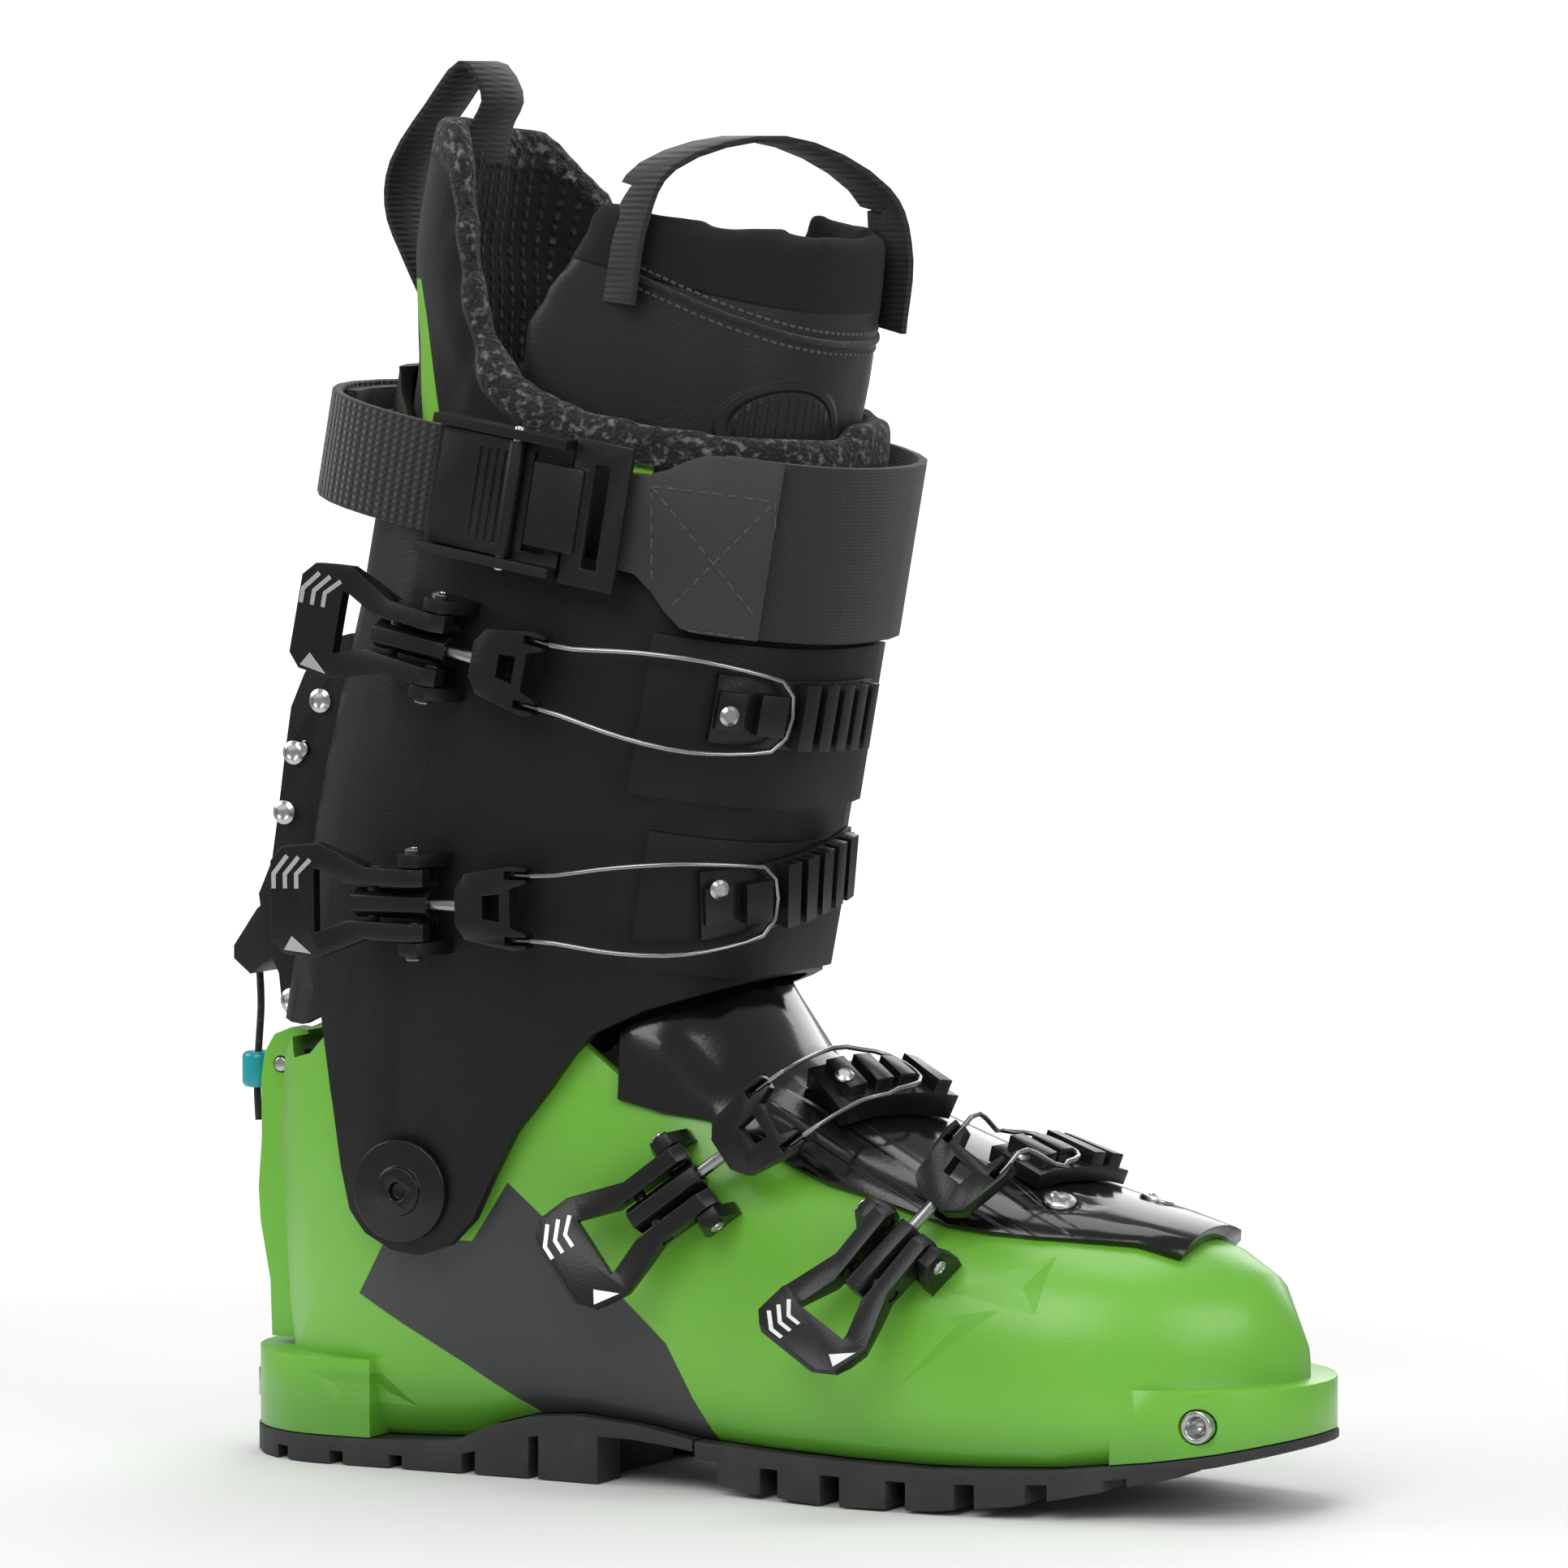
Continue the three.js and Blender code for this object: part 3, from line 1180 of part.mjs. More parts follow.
const group = new THREE.Group();
Object.keys(solids).forEach((name) => {
  const kind = Object.keys(finish).find((k) => finish[k].includes(name)) || 'black';
  const [color, roughness, metalness] = colours[kind];
  const data = solids[name].getMesh();
  const geometry = new THREE.BufferGeometry();
  geometry.setAttribute('position', new THREE.BufferAttribute(new Float32Array(data.vertProperties), 3));
  geometry.setIndex(new THREE.BufferAttribute(new Uint32Array(data.triVerts), 1));
  geometry.computeVertexNormals();
  const mesh = new THREE.Mesh(geometry, new THREE.MeshStandardMaterial({ color, roughness, metalness }));
  mesh.name = name;
  group.add(mesh);
});

export default group;
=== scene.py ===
import json
import math
import bpy
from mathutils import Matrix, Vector


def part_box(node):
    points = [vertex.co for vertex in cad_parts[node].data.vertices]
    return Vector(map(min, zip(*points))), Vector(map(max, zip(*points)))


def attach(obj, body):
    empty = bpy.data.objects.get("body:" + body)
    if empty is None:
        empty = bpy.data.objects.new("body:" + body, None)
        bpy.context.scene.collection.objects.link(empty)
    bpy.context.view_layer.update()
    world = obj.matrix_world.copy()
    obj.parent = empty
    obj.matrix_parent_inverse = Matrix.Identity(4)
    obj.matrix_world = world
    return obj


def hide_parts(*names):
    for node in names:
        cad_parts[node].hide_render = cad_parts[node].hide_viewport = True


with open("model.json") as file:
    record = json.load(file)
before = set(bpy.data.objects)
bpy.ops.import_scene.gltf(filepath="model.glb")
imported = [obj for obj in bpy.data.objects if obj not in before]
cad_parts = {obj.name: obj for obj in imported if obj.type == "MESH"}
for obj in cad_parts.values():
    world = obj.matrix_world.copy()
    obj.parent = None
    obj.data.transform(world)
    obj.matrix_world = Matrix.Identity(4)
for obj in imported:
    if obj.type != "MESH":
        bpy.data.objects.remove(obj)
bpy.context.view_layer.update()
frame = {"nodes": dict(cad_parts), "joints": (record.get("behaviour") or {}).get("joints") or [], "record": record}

bodyOf = {node: body for body, nodes in frame["record"]["behaviour"]["bodies"].items() for node in nodes}
slotOf = {entry["node"]: entry["material_slot"] for entry in frame["record"]["subparts"]}
buckleNames = ["toe", "instep", "cuff_lower", "cuff_upper"]
mm = 0.001
lean = math.radians(10)

# camera, floor and lights
look = {"target": (0.085, 0.0, 0.1815), "azimuth": 26, "elevation": 4, "distance": 2.5, "lens": 219.9}


def placeCamera():
    turn, rise = math.radians(look["azimuth"]), math.radians(look["elevation"])
    back = Vector((math.sin(turn) * math.cos(rise), -math.cos(turn) * math.cos(rise), math.sin(rise)))
    camera = bpy.data.objects.new("camera", bpy.data.cameras.new("camera"))
    bpy.context.scene.collection.objects.link(camera)
    camera.location = Vector(look["target"]) + back * look["distance"]
    camera.rotation_euler = (-back).to_track_quat("-Z", "Y").to_euler()
    camera.data.lens = look["lens"]
    camera.data.sensor_width = 36
    camera.data.clip_end = 30
    bpy.context.scene.camera = camera


lamps = [
    # name, place, size, power, colour
    ("key", (0.25, -1.25, 1.15), 0.9, 9.5, (1.0, 0.99, 0.97)),
    ("front", (1.3, -0.45, 0.75), 0.7, 5.0, (1.0, 1.0, 1.0)),
    ("rear", (-1.1, -0.35, 0.8), 0.7, 5.5, (0.97, 0.98, 1.0)),
    ("top", (0.05, 0.15, 1.5), 0.9, 7.0, (1.0, 1.0, 1.0)),
    ("back", (-0.1, 1.3, 0.7), 1.0, 6.0, (1.0, 1.0, 1.0)),
]


def placeLights():
    for name, place, size, power, colour in lamps:
        light = bpy.data.lights.new(name, "AREA")
        light.shape = "SQUARE"
        light.size = size
        light.energy = power
        light.color = colour
        lamp = bpy.data.objects.new(name, light)
        bpy.context.scene.collection.objects.link(lamp)
        lamp.location = place
        aim = Vector((0.06, 0, 0.17)) - Vector(place)
        lamp.rotation_euler = aim.to_track_quat("-Z", "Y").to_euler()
    world = bpy.data.worlds.new("studio")
    world.use_nodes = True
    tree = world.node_tree
    sky = tree.nodes["Background"]
    sky.inputs["Color"].default_value = (1, 1, 1, 1)
    sky.inputs["Strength"].default_value = 0.36
    # the backdrop is seen white, and lights the boot more softly than that
    backdrop = put(tree, "ShaderNodeBackground")
    backdrop.inputs["Strength"].default_value = 1.5
    choose = put(tree, "ShaderNodeMixShader")
    wire(tree, put(tree, "ShaderNodeLightPath").outputs["Is Camera Ray"], choose.inputs[0])
    wire(tree, sky.outputs[0], choose.inputs[1])
    wire(tree, backdrop.outputs[0], choose.inputs[2])
    wire(tree, choose.outputs[0], tree.nodes["World Output"].inputs["Surface"])
    bpy.context.scene.world = world
    bpy.context.scene.view_settings.view_transform = "Standard"


# small helpers for shader nodes
def newMaterial(name):
    material = bpy.data.materials.new(name)
    material.use_nodes = True
    tree = material.node_tree
    return material, tree, tree.nodes["Principled BSDF"]


def put(tree, kind, **values):
    node = tree.nodes.new(kind)
    for key, value in values.items():
        setattr(node, key, value)
    return node


def wire(tree, out, into):
    tree.links.new(out, into)


def maths(tree, operation, a, b=None, clamp=False):
    node = put(tree, "ShaderNodeMath", operation=operation, use_clamp=clamp)
    for index, value in enumerate((a, b)):
        if value is None:
            continue
        if isinstance(value, (int, float)):
            node.inputs[index].default_value = value
        else:
            wire(tree, value, node.inputs[index])
    return node.outputs[0]


def times(tree, first, second, **more):
    return maths(tree, "MULTIPLY", first, second, **more)


def plus(tree, first, second):
    return maths(tree, "ADD", first, second)


def less(tree, first, second):
    return maths(tree, "SUBTRACT", first, second)


def mixColour(tree, mask, low, high):
    node = put(tree, "ShaderNodeMix", data_type="RGBA")
    wire(tree, mask, node.inputs["Factor"])
    for socket, value in (("A", low), ("B", high)):
        target = [i for i in node.inputs if i.name == socket and i.type == "RGBA"][0]
        if isinstance(value, (tuple, list)):
            target.default_value = (*value, 1)
        else:
            wire(tree, value, target)
    return [o for o in node.outputs if o.type == "RGBA"][0]


def ramp(tree, value, low, high):
    node = put(tree, "ShaderNodeMapRange")
    node.interpolation_type = "SMOOTHSTEP"
    wire(tree, value, node.inputs["Value"])
    node.inputs["From Min"].default_value = low
    node.inputs["From Max"].default_value = high
    return node.outputs[0]


def noise(tree, place, scale, detail=3.0):
    node = put(tree, "ShaderNodeTexNoise")
    wire(tree, place, node.inputs["Vector"])
    node.inputs["Scale"].default_value = scale
    node.inputs["Detail"].default_value = detail
    return node.outputs["Fac"]


def axisOf(tree, place, axis):
    node = put(tree, "ShaderNodeSeparateXYZ")
    wire(tree, place, node.inputs[0])
    return node.outputs[axis]


def here(tree):
    return put(tree, "ShaderNodeTexCoord").outputs["Object"]


def bumpInto(tree, shader, height, distance, strength=1.0):
    node = put(tree, "ShaderNodeBump")
    node.inputs["Distance"].default_value = distance
    node.inputs["Strength"].default_value = strength
    wire(tree, height, node.inputs["Height"])
    wire(tree, node.outputs[0], shader.inputs["Normal"])


def newGroup(name, sockets, outputs):
    group = bpy.data.node_groups.new(name, "ShaderNodeTree")
    for label, start in sockets:
        kind = "NodeSocketVector" if start is None else "NodeSocketFloat"
        socket = group.interface.new_socket(label, in_out="INPUT", socket_type=kind)
        if start is not None:
            socket.default_value = start
    for label in outputs:
        group.interface.new_socket(label, in_out="OUTPUT", socket_type="NodeSocketFloat")
    return group, group.nodes.new("NodeGroupInput"), group.nodes.new("NodeGroupOutput")


def useGroup(tree, group, place, **values):
    node = put(tree, "ShaderNodeGroup", node_tree=group)
    wire(tree, place, node.inputs["Place"])
    for label, value in values.items():
        node.inputs[label].default_value = value
    return node.outputs


def makeGrain():
    # fine leathery mould grain, with slow blotches of gloss
    group, given, out = newGroup("mouldGrain", [("Place", None), ("Size", 900.0)], ["Height", "Blotch"])
    cells = put(group, "ShaderNodeTexVoronoi", feature="SMOOTH_F1")
    wire(group, given.outputs["Place"], cells.inputs["Vector"])
    wire(group, given.outputs["Size"], cells.inputs["Scale"])
    speck = put(group, "ShaderNodeTexNoise")
    wire(group, given.outputs["Place"], speck.inputs["Vector"])
    wire(group, times(group, given.outputs["Size"], 2.1), speck.inputs["Scale"])
    height = plus(group, cells.outputs["Distance"], times(group, speck.outputs["Fac"], 0.6))
    wire(group, height, out.inputs["Height"])
    wire(group, noise(group, given.outputs["Place"], 28.0, 4.0), out.inputs["Blotch"])
    return group


def makeWear():
    # rubbed edges, from the difference between the true and the rounded normal
    group, given, out = newGroup("edgeWear", [("Place", None), ("Amount", 1.0)], ["Mask"])
    rounded = put(group, "ShaderNodeBevel", samples=4)
    rounded.inputs["Radius"].default_value = 0.0009
    sharp = put(group, "ShaderNodeNewGeometry")
    dot = put(group, "ShaderNodeVectorMath", operation="DOT_PRODUCT")
    wire(group, rounded.outputs[0], dot.inputs[0])
    wire(group, sharp.outputs["Normal"], dot.inputs[1])
    edge = ramp(group, less(group, 1.0, dot.outputs["Value"]), 0.02, 0.16)
    broken = ramp(group, noise(group, given.outputs["Place"], 260.0, 4.0), 0.42, 0.66)
    mask = times(group, times(group, edge, broken), given.outputs["Amount"], clamp=True)
    wire(group, mask, out.inputs["Mask"])
    return group


def makeWeave():
    # ribs across a strap and threads along it, from two distances in metres; the second output is painted shade in
    # the grooves and painted highlight on the raised threads
    group, given, out = newGroup(
        "strapWeave", [("Place", None), ("Ribs", 800.0), ("Threads", 500.0)], ["Height", "Shade"]
    )
    along = axisOf(group, given.outputs["Place"], "X")
    across = axisOf(group, given.outputs["Place"], "Y")
    first = maths(group, "SINE", times(group, times(group, along, given.outputs["Ribs"]), 6.2832))
    turned = times(group, times(group, across, given.outputs["Threads"]), 6.2832)
    second = maths(group, "SINE", turned)
    third = times(group, first, second)
    height = plus(group, times(group, first, 0.55), times(group, third, 0.45))
    wire(group, height, out.inputs["Height"])
    # painted shade and painted highlight, taken from the weave's height
    wire(group, ramp(group, height, -0.7, 0.9), out.inputs["Shade"])
    return group


def makeKnit():
    # spacer textile: rows of small loops, with paler flecks
    sockets = [("Place", None), ("Size", 700.0), ("Flecks", 0.5)]
    group, given, out = newGroup("knitTextile", sockets, ["Height", "Fleck"])
    loops = put(group, "ShaderNodeTexVoronoi", feature="F1")
    wire(group, given.outputs["Place"], loops.inputs["Vector"])
    wire(group, given.outputs["Size"], loops.inputs["Scale"])
    wire(group, less(group, 1.0, loops.outputs["Distance"]), out.inputs["Height"])
    soft = ramp(group, noise(group, given.outputs["Place"], 420.0, 6.0), 0.5, 0.72)
    wire(group, times(group, soft, given.outputs["Flecks"]), out.inputs["Fleck"])
    return group


grain, wear, weave, knit = makeGrain(), makeWear(), makeWeave(), makeKnit()


# place turned so that X runs round the leg and Y up it; Z is left at zero
def roundLeg(tree, centre=(0.045, 0.0), radius=0.055):
    place = put(tree, "ShaderNodeMapping")
    place.vector_type = "POINT"
    place.inputs["Rotation"].default_value = (0, -lean, 0)
    wire(tree, here(tree), place.inputs["Vector"])
    split = put(tree, "ShaderNodeSeparateXYZ")
    wire(tree, place.outputs[0], split.inputs[0])
    angle = maths(tree, "ARCTAN2", split.outputs["Y"], less(tree, split.outputs["X"], centre[0] - 0.03))
    join = put(tree, "ShaderNodeCombineXYZ")
    wire(tree, times(tree, angle, radius), join.inputs["X"])
    wire(tree, split.outputs["Z"], join.inputs["Y"])
    return join.outputs[0]


# materials
plastics = {
    # name: colour, roughness, coat, grain size, grain height, wear, specular
    "cuff_black": ((0.0068, 0.0068, 0.0075), 0.47, 0.0, 1500.0, 0.00009, 0.35, 0.26),
    "tongue_black": ((0.004, 0.004, 0.0045), 0.15, 0.30, 900.0, 0.00002, 0.25, 0.45),
    "buckle_black": ((0.005, 0.005, 0.0055), 0.33, 0.05, 1400.0, 0.00005, 0.5, 0.38),
    "cam_black": ((0.008, 0.008, 0.009), 0.45, 0.0, 1600.0, 0.00008, 0.4, 0.32),
    "board_grey": ((0.10, 0.10, 0.105), 0.6, 0.0, 900.0, 0.00006, 0.2, 0.4),
    "bead_teal": ((0.0, 0.30, 0.36), 0.25, 0.4, 900.0, 0.00002, 0.2, 0.5),
}


def plastic(name):
    colour, roughness, coat, size, height, rubbed, specular = plastics[name]
    material, tree, shader = newMaterial(name)
    place = here(tree)
    surface = useGroup(tree, grain, place, Size=size)
    edges = useGroup(tree, wear, place, Amount=rubbed)
    pale = tuple(min(1, c * 2.2 + 0.014) for c in colour)
    darker, lighter = (tuple(c * share for c in colour) for share in (0.82, 1.25))
    base = mixColour(tree, ramp(tree, surface["Blotch"], 0.3, 0.7), darker, lighter)
    wire(tree, mixColour(tree, edges["Mask"], base, pale), shader.inputs["Base Color"])
    rough = plus(tree, times(tree, surface["Blotch"], 0.16), roughness - 0.08)
    wire(tree, rough, shader.inputs["Roughness"])
    shader.inputs["Coat Weight"].default_value = coat
    shader.inputs["Coat Roughness"].default_value = 0.12
    shader.inputs["Specular IOR Level"].default_value = specular
    relief = times(tree, surface["Height"], height * 0.7)
    for outline, depth, softness in dents.get(name, []):
        x, z = axisOf(tree, place, "X"), axisOf(tree, place, "Z")
        relief = less(tree, relief, dent(tree, x, z, outline, depth, softness))
    if name == "tongue_black":
        relief = plus(tree, relief, tongueGrooves(tree, place))
    bumpInto(tree, shader, relief, 1.0)
    return material


# moulded dents, in mm seen from the side: corners, depth and how far the floor slopes in
dents = {
    "cuff_black": [
        ([(-46, 152), (-31, 126), (-44, 106)], 1.6, 7),
        ([(-45, 176), (-34, 158), (-47, 150)], 1.4, 6),
        ([(-34, 112), (-24, 92), (-36, 84)], 1.3, 6),
    ],
    "shell_green": [
        ([(154, 57), (178, 66), (177, 52)], 2.2, 7),
        ([(140, 31), (155, 51), (168, 53)], 2.0, 7),
        ([(-40, 25), (-18, 24.5), (-8, 16), (-30, 16.5)], 1.2, 3),
    ],
}


def dent(tree, x, z, outline, depth, softness):
    # the least distance inside the outline's edges, in metres, made into a depth
    centre = [sum(c[i] for c in outline) / len(outline) for i in (0, 1)]
    inside = None
    for (x1, z1), (x2, z2) in zip(outline, outline[1:] + outline[:1]):
        long = math.hypot(x2 - x1, z2 - z1)
        across, up = (z1 - z2) / long, (x2 - x1) / long
        reach = -(across * x1 + up * z1)
        if across * centre[0] + up * centre[1] + reach < 0:
            across, up, reach = -across, -up, -reach
        edge = plus(tree, times(tree, x, across), times(tree, z, up))
        edge = plus(tree, edge, reach * mm)
        inside = edge if inside is None else maths(tree, "MINIMUM", inside, edge)
    share = maths(tree, "DIVIDE", inside, softness * mm, clamp=True)
    return times(tree, share, depth * mm)


def tongueGrooves(tree, place):
    # long slots that run down both sides of the instep tongue
    x, y, z = axisOf(tree, place, "X"), axisOf(tree, place, "Y"), axisOf(tree, place, "Z")
    fall = plus(tree, z, times(tree, x, 0.47))
    wave = maths(tree, "SINE", times(tree, fall, 6.2832 / 0.0062))
    groove = ramp(tree, wave, 0.1, 0.75)
    ends = times(tree, ramp(tree, x, 0.092, 0.102), ramp(tree, x, 0.182, 0.172))
    sides = ramp(tree, maths(tree, "ABSOLUTE", y), 0.013, 0.017)
    return times(tree, times(tree, groove, -0.0009), times(tree, ends, sides))


greenPaint = {
    "green": (0.165, 0.50, 0.040),
    # painted shade: the darker green laid along the shell's bottom, near the sole
    "soleShade": (0.10, 0.34, 0.026),
    "panel": (0.030, 0.031, 0.034),
    # the dark panel's slanted sides: x share, z share and where each ends, in mm
    "panelSides": [(0.6065, 1, 33.9), (1.576, -1, -78.6), (-0.895, -1, -102.4), (-1.94, -1, -177.1)],
}


def shellGreen():
    material, tree, shader = newMaterial("shell_green")
    place = here(tree)
    surface = useGroup(tree, grain, place, Size=1500.0)
    edges = useGroup(tree, wear, place, Amount=0.35)
    x, y, z = axisOf(tree, place, "X"), axisOf(tree, place, "Y"), axisOf(tree, place, "Z")
    # the dark side panel under the ankle
    panel = ramp(tree, maths(tree, "ABSOLUTE", y), 0.012, 0.016)
    for acrossShare, upShare, end in greenPaint["panelSides"]:
        line = plus(tree, times(tree, x, acrossShare), times(tree, z, upShare))
        panel = times(tree, panel, ramp(tree, line, (end - 0.3) * mm, (end + 0.3) * mm))
    brow = maths(tree, "MAXIMUM", plus(tree, times(tree, x, 1.42), 0.0406), 0.0625)
    panel = times(tree, panel, ramp(tree, less(tree, brow, z), -0.0003, 0.0003))
    shaded = tuple(c * 0.93 for c in greenPaint["green"])
    green = mixColour(tree, ramp(tree, surface["Blotch"], 0.25, 0.75), greenPaint["green"], shaded)
    # painted shade: the green darkens towards the bottom, near the sole
    low = mixColour(tree, ramp(tree, z, 0.012, 0.030), greenPaint["soleShade"], green)
    body = mixColour(tree, panel, low, greenPaint["panel"])
    wire(tree, mixColour(tree, edges["Mask"], body, (0.36, 0.66, 0.16)), shader.inputs["Base Color"])
    rough = plus(tree, times(tree, surface["Blotch"], 0.12), 0.30)
    wire(tree, plus(tree, rough, times(tree, panel, 0.14)), shader.inputs["Roughness"])
    shader.inputs["Coat Weight"].default_value = 0.25
    shader.inputs["Coat Roughness"].default_value = 0.25
    relief = plus(tree, times(tree, surface["Height"], 0.00004), times(tree, panel, -0.0004))
    for outline, depth, softness in dents["shell_green"]:
        relief = less(tree, relief, dent(tree, x, z, outline, depth, softness))
    bumpInto(tree, shader, relief, 1.0)
    return material


def rubber():
    material, tree, shader = newMaterial("outsole_rubber")
    place = here(tree)
    surface = useGroup(tree, grain, place, Size=700.0)
    dust = ramp(tree, noise(tree, place, 90.0, 5.0), 0.45, 0.75)
    wire(tree, mixColour(tree, dust, (0.020, 0.020, 0.021), (0.038, 0.037, 0.036)), shader.inputs["Base Color"])
    wire(tree, plus(tree, times(tree, dust, 0.2), 0.62), shader.inputs["Roughness"])
    bumpInto(tree, shader, surface["Height"], 0.00012, 0.8)
    return material


def steel(name, colour=(0.56, 0.565, 0.575), roughness=0.24):
    material, tree, shader = newMaterial(name)
    place = here(tree)
    stretched = put(tree, "ShaderNodeMapping")
    stretched.inputs["Scale"].default_value = (1, 6, 1)
    wire(tree, place, stretched.inputs["Vector"])
    lines = noise(tree, stretched.outputs[0], 900.0, 2.0)
    smudge = noise(tree, place, 60.0, 4.0)
    wire(tree, mixColour(tree, smudge, colour, tuple(c * 0.8 for c in colour)), shader.inputs["Base Color"])
    shader.inputs["Metallic"].default_value = 1.0
    rough = plus(tree, times(tree, lines, 0.14), roughness - 0.05)
    wire(tree, rough, shader.inputs["Roughness"])
    bumpInto(tree, shader, lines, 0.00002, 0.5)
    return material


def webbing(name, ribs, threads, colour=(0.014, 0.014, 0.016), lift=0.00035, upright=False):
    material, tree, shader = newMaterial(name)
    place = here(tree) if upright else roundLeg(tree)
    if upright:
        turned = put(tree, "ShaderNodeMapping")
        turned.inputs["Rotation"].default_value = (0, math.radians(-90), 0)
        wire(tree, place, turned.inputs["Vector"])
        place = turned.outputs[0]
    cloth = useGroup(tree, weave, place, Ribs=ribs, Threads=threads)
    fuzz = noise(tree, here(tree), 1600.0, 2.0)
    # painted highlight on the raised threads and painted shade in the grooves, broken by random fuzz
    ribHighlight = tuple(c * 2.6 + 0.006 for c in colour)
    shade = times(tree, cloth["Shade"], plus(tree, fuzz, 0.3), clamp=True)
    wire(tree, mixColour(tree, shade, colour, ribHighlight), shader.inputs["Base Color"])
    shader.inputs["Roughness"].default_value = 0.82
    shader.inputs["Sheen Weight"].default_value = 0.25
    shader.inputs["Sheen Roughness"].default_value = 0.4
    bumpInto(tree, shader, cloth["Height"], lift, 0.9)
    return material


def textile(name, colour, flecks, size, lift, sheen=0.3):
    material, tree, shader = newMaterial(name)
    place = here(tree)
    cloth = useGroup(tree, knit, place, Size=size, Flecks=flecks)
    slow = noise(tree, place, 35.0, 3.0)
    base = mixColour(tree, slow, colour, tuple(c * 1.5 for c in colour))
    wire(tree, mixColour(tree, cloth["Fleck"], base, (0.17, 0.17, 0.175)), shader.inputs["Base Color"])
    shader.inputs["Roughness"].default_value = 0.86
    shader.inputs["Sheen Weight"].default_value = sheen
    shader.inputs["Sheen Roughness"].default_value = 0.45
    bumpInto(tree, shader, cloth["Height"], lift, 0.9)
    return material


def thermoformed():
    # the liner tongue's smooth moulded panel
    material, tree, shader = newMaterial("tongue_panel")
    place = here(tree)
    cloth = useGroup(tree, knit, place, Size=2400.0, Flecks=0.05)
    slow = noise(tree, place, 40.0, 3.0)
    wire(tree, mixColour(tree, slow, (0.020, 0.022, 0.023), (0.034, 0.036, 0.037)), shader.inputs["Base Color"])
    wire(tree, plus(tree, times(tree, slow, 0.2), 0.42), shader.inputs["Roughness"])
    bumpInto(tree, shader, cloth["Height"], 0.00005, 0.7)
    return material


# the collar's tones, each with its paler flecks, and its green marks in metres; the inner flecks sit only on the
# raised dots' tops, as painted highlight
collarLook = {
    "outer": (0.0055, 0.0055, 0.006),
    "outerFleck": (0.03, 0.03, 0.032),
    "inner": (0.008, 0.008, 0.009),
    "innerDotLight": (0.10, 0.10, 0.105),
    "rim": (0.018, 0.018, 0.019),
    "rimFleck": (0.19, 0.19, 0.195),
    "green": (0.21, 0.55, 0.045),
    "rimDepth": 0.0105,
    "stripAt": 0.0950,
    "stripTop": 0.3130,
    "tabAt": 0.066,
    "tabTop": 0.2790,
}


def attribute(tree, name):
    return put(tree, "ShaderNodeAttribute", attribute_name=name).outputs["Fac"]


def collarCloth():
    # one cloth collar: plain outside, raised dots inside with painted highlight on their tops, a speckled roll on
    # the rim, a green strip behind
    material, tree, shader = newMaterial("collar_cloth")
    place = here(tree)
    x, y, z = axisOf(tree, place, "X"), axisOf(tree, place, "Y"), axisOf(tree, place, "Z")
    plain = useGroup(tree, knit, place, Size=1900.0, Flecks=0.10)
    dots = useGroup(tree, weave, roundLeg(tree), Ribs=300.0, Threads=300.0)
    rimCloth = useGroup(tree, knit, place, Size=800.0, Flecks=0.9)
    depth = collarLook["rimDepth"]
    rim = ramp(tree, attribute(tree, "rimDistance"), -depth - 0.001, -depth + 0.001)
    inner = ramp(tree, attribute(tree, "inward"), -0.1, 0.25)
    raised = ramp(tree, dots["Height"], 0.1, 0.8)
    # the pale flecks fall only on the raised dots: random flecks, plus painted highlight on the dots' tops
    litDotFleck = times(tree, raised, rimCloth["Fleck"])
    innerTone = mixColour(tree, litDotFleck, collarLook["inner"], collarLook["innerDotLight"])
    outerTone = mixColour(tree, plain["Fleck"], collarLook["outer"], collarLook["outerFleck"])
    line = plus(tree, x, times(tree, z, 0.333))
    fromStrip = maths(tree, "ABSOLUTE", less(tree, line, collarLook["stripAt"]))
    strip = times(tree, ramp(tree, fromStrip, 0.0042, 0.0036), ramp(tree, y, -0.004, -0.007))
    top = collarLook["stripTop"]
    strip = times(tree, strip, ramp(tree, z, top + 0.0005, top - 0.0005))
    fromTab = maths(tree, "ABSOLUTE", less(tree, x, collarLook["tabAt"]))
    tab = times(tree, ramp(tree, fromTab, 0.0056, 0.0050), ramp(tree, y, -0.028, -0.031))
    top = collarLook["tabTop"]
    tab = times(tree, tab, ramp(tree, z, top + 0.0005, top - 0.0005))
    green = times(tree, maths(tree, "MAXIMUM", strip, tab), less(tree, 1.0, inner), clamp=True)
    base = mixColour(tree, green, outerTone, collarLook["green"])
    base = mixColour(tree, inner, base, innerTone)
    rimTone = mixColour(tree, rimCloth["Fleck"], collarLook["rim"], collarLook["rimFleck"])
    wire(tree, mixColour(tree, rim, base, rimTone), shader.inputs["Base Color"])
    shader.inputs["Roughness"].default_value = 0.88
    shader.inputs["Sheen Weight"].default_value = 0.12
    shader.inputs["Specular IOR Level"].default_value = 0.25
    fine = times(tree, plain["Height"], 0.00015)
    lumps = times(tree, times(tree, raised, inner), 0.0009)
    speckle = times(tree, times(tree, rimCloth["Height"], rim), 0.0006)
    stripLift = times(tree, green, 0.0008)
    edgeLift = plus(tree, times(tree, rim, 0.0012), stripLift)
    relief = plus(tree, plus(tree, fine, lumps), plus(tree, speckle, edgeLift))
    bumpInto(tree, shader, relief, 1.0)
    return material


# the tongue's welt, in metres: height over x, where plush cloth meets the moulded panel
welt = {"height": 0.3300, "fall": 0.245}


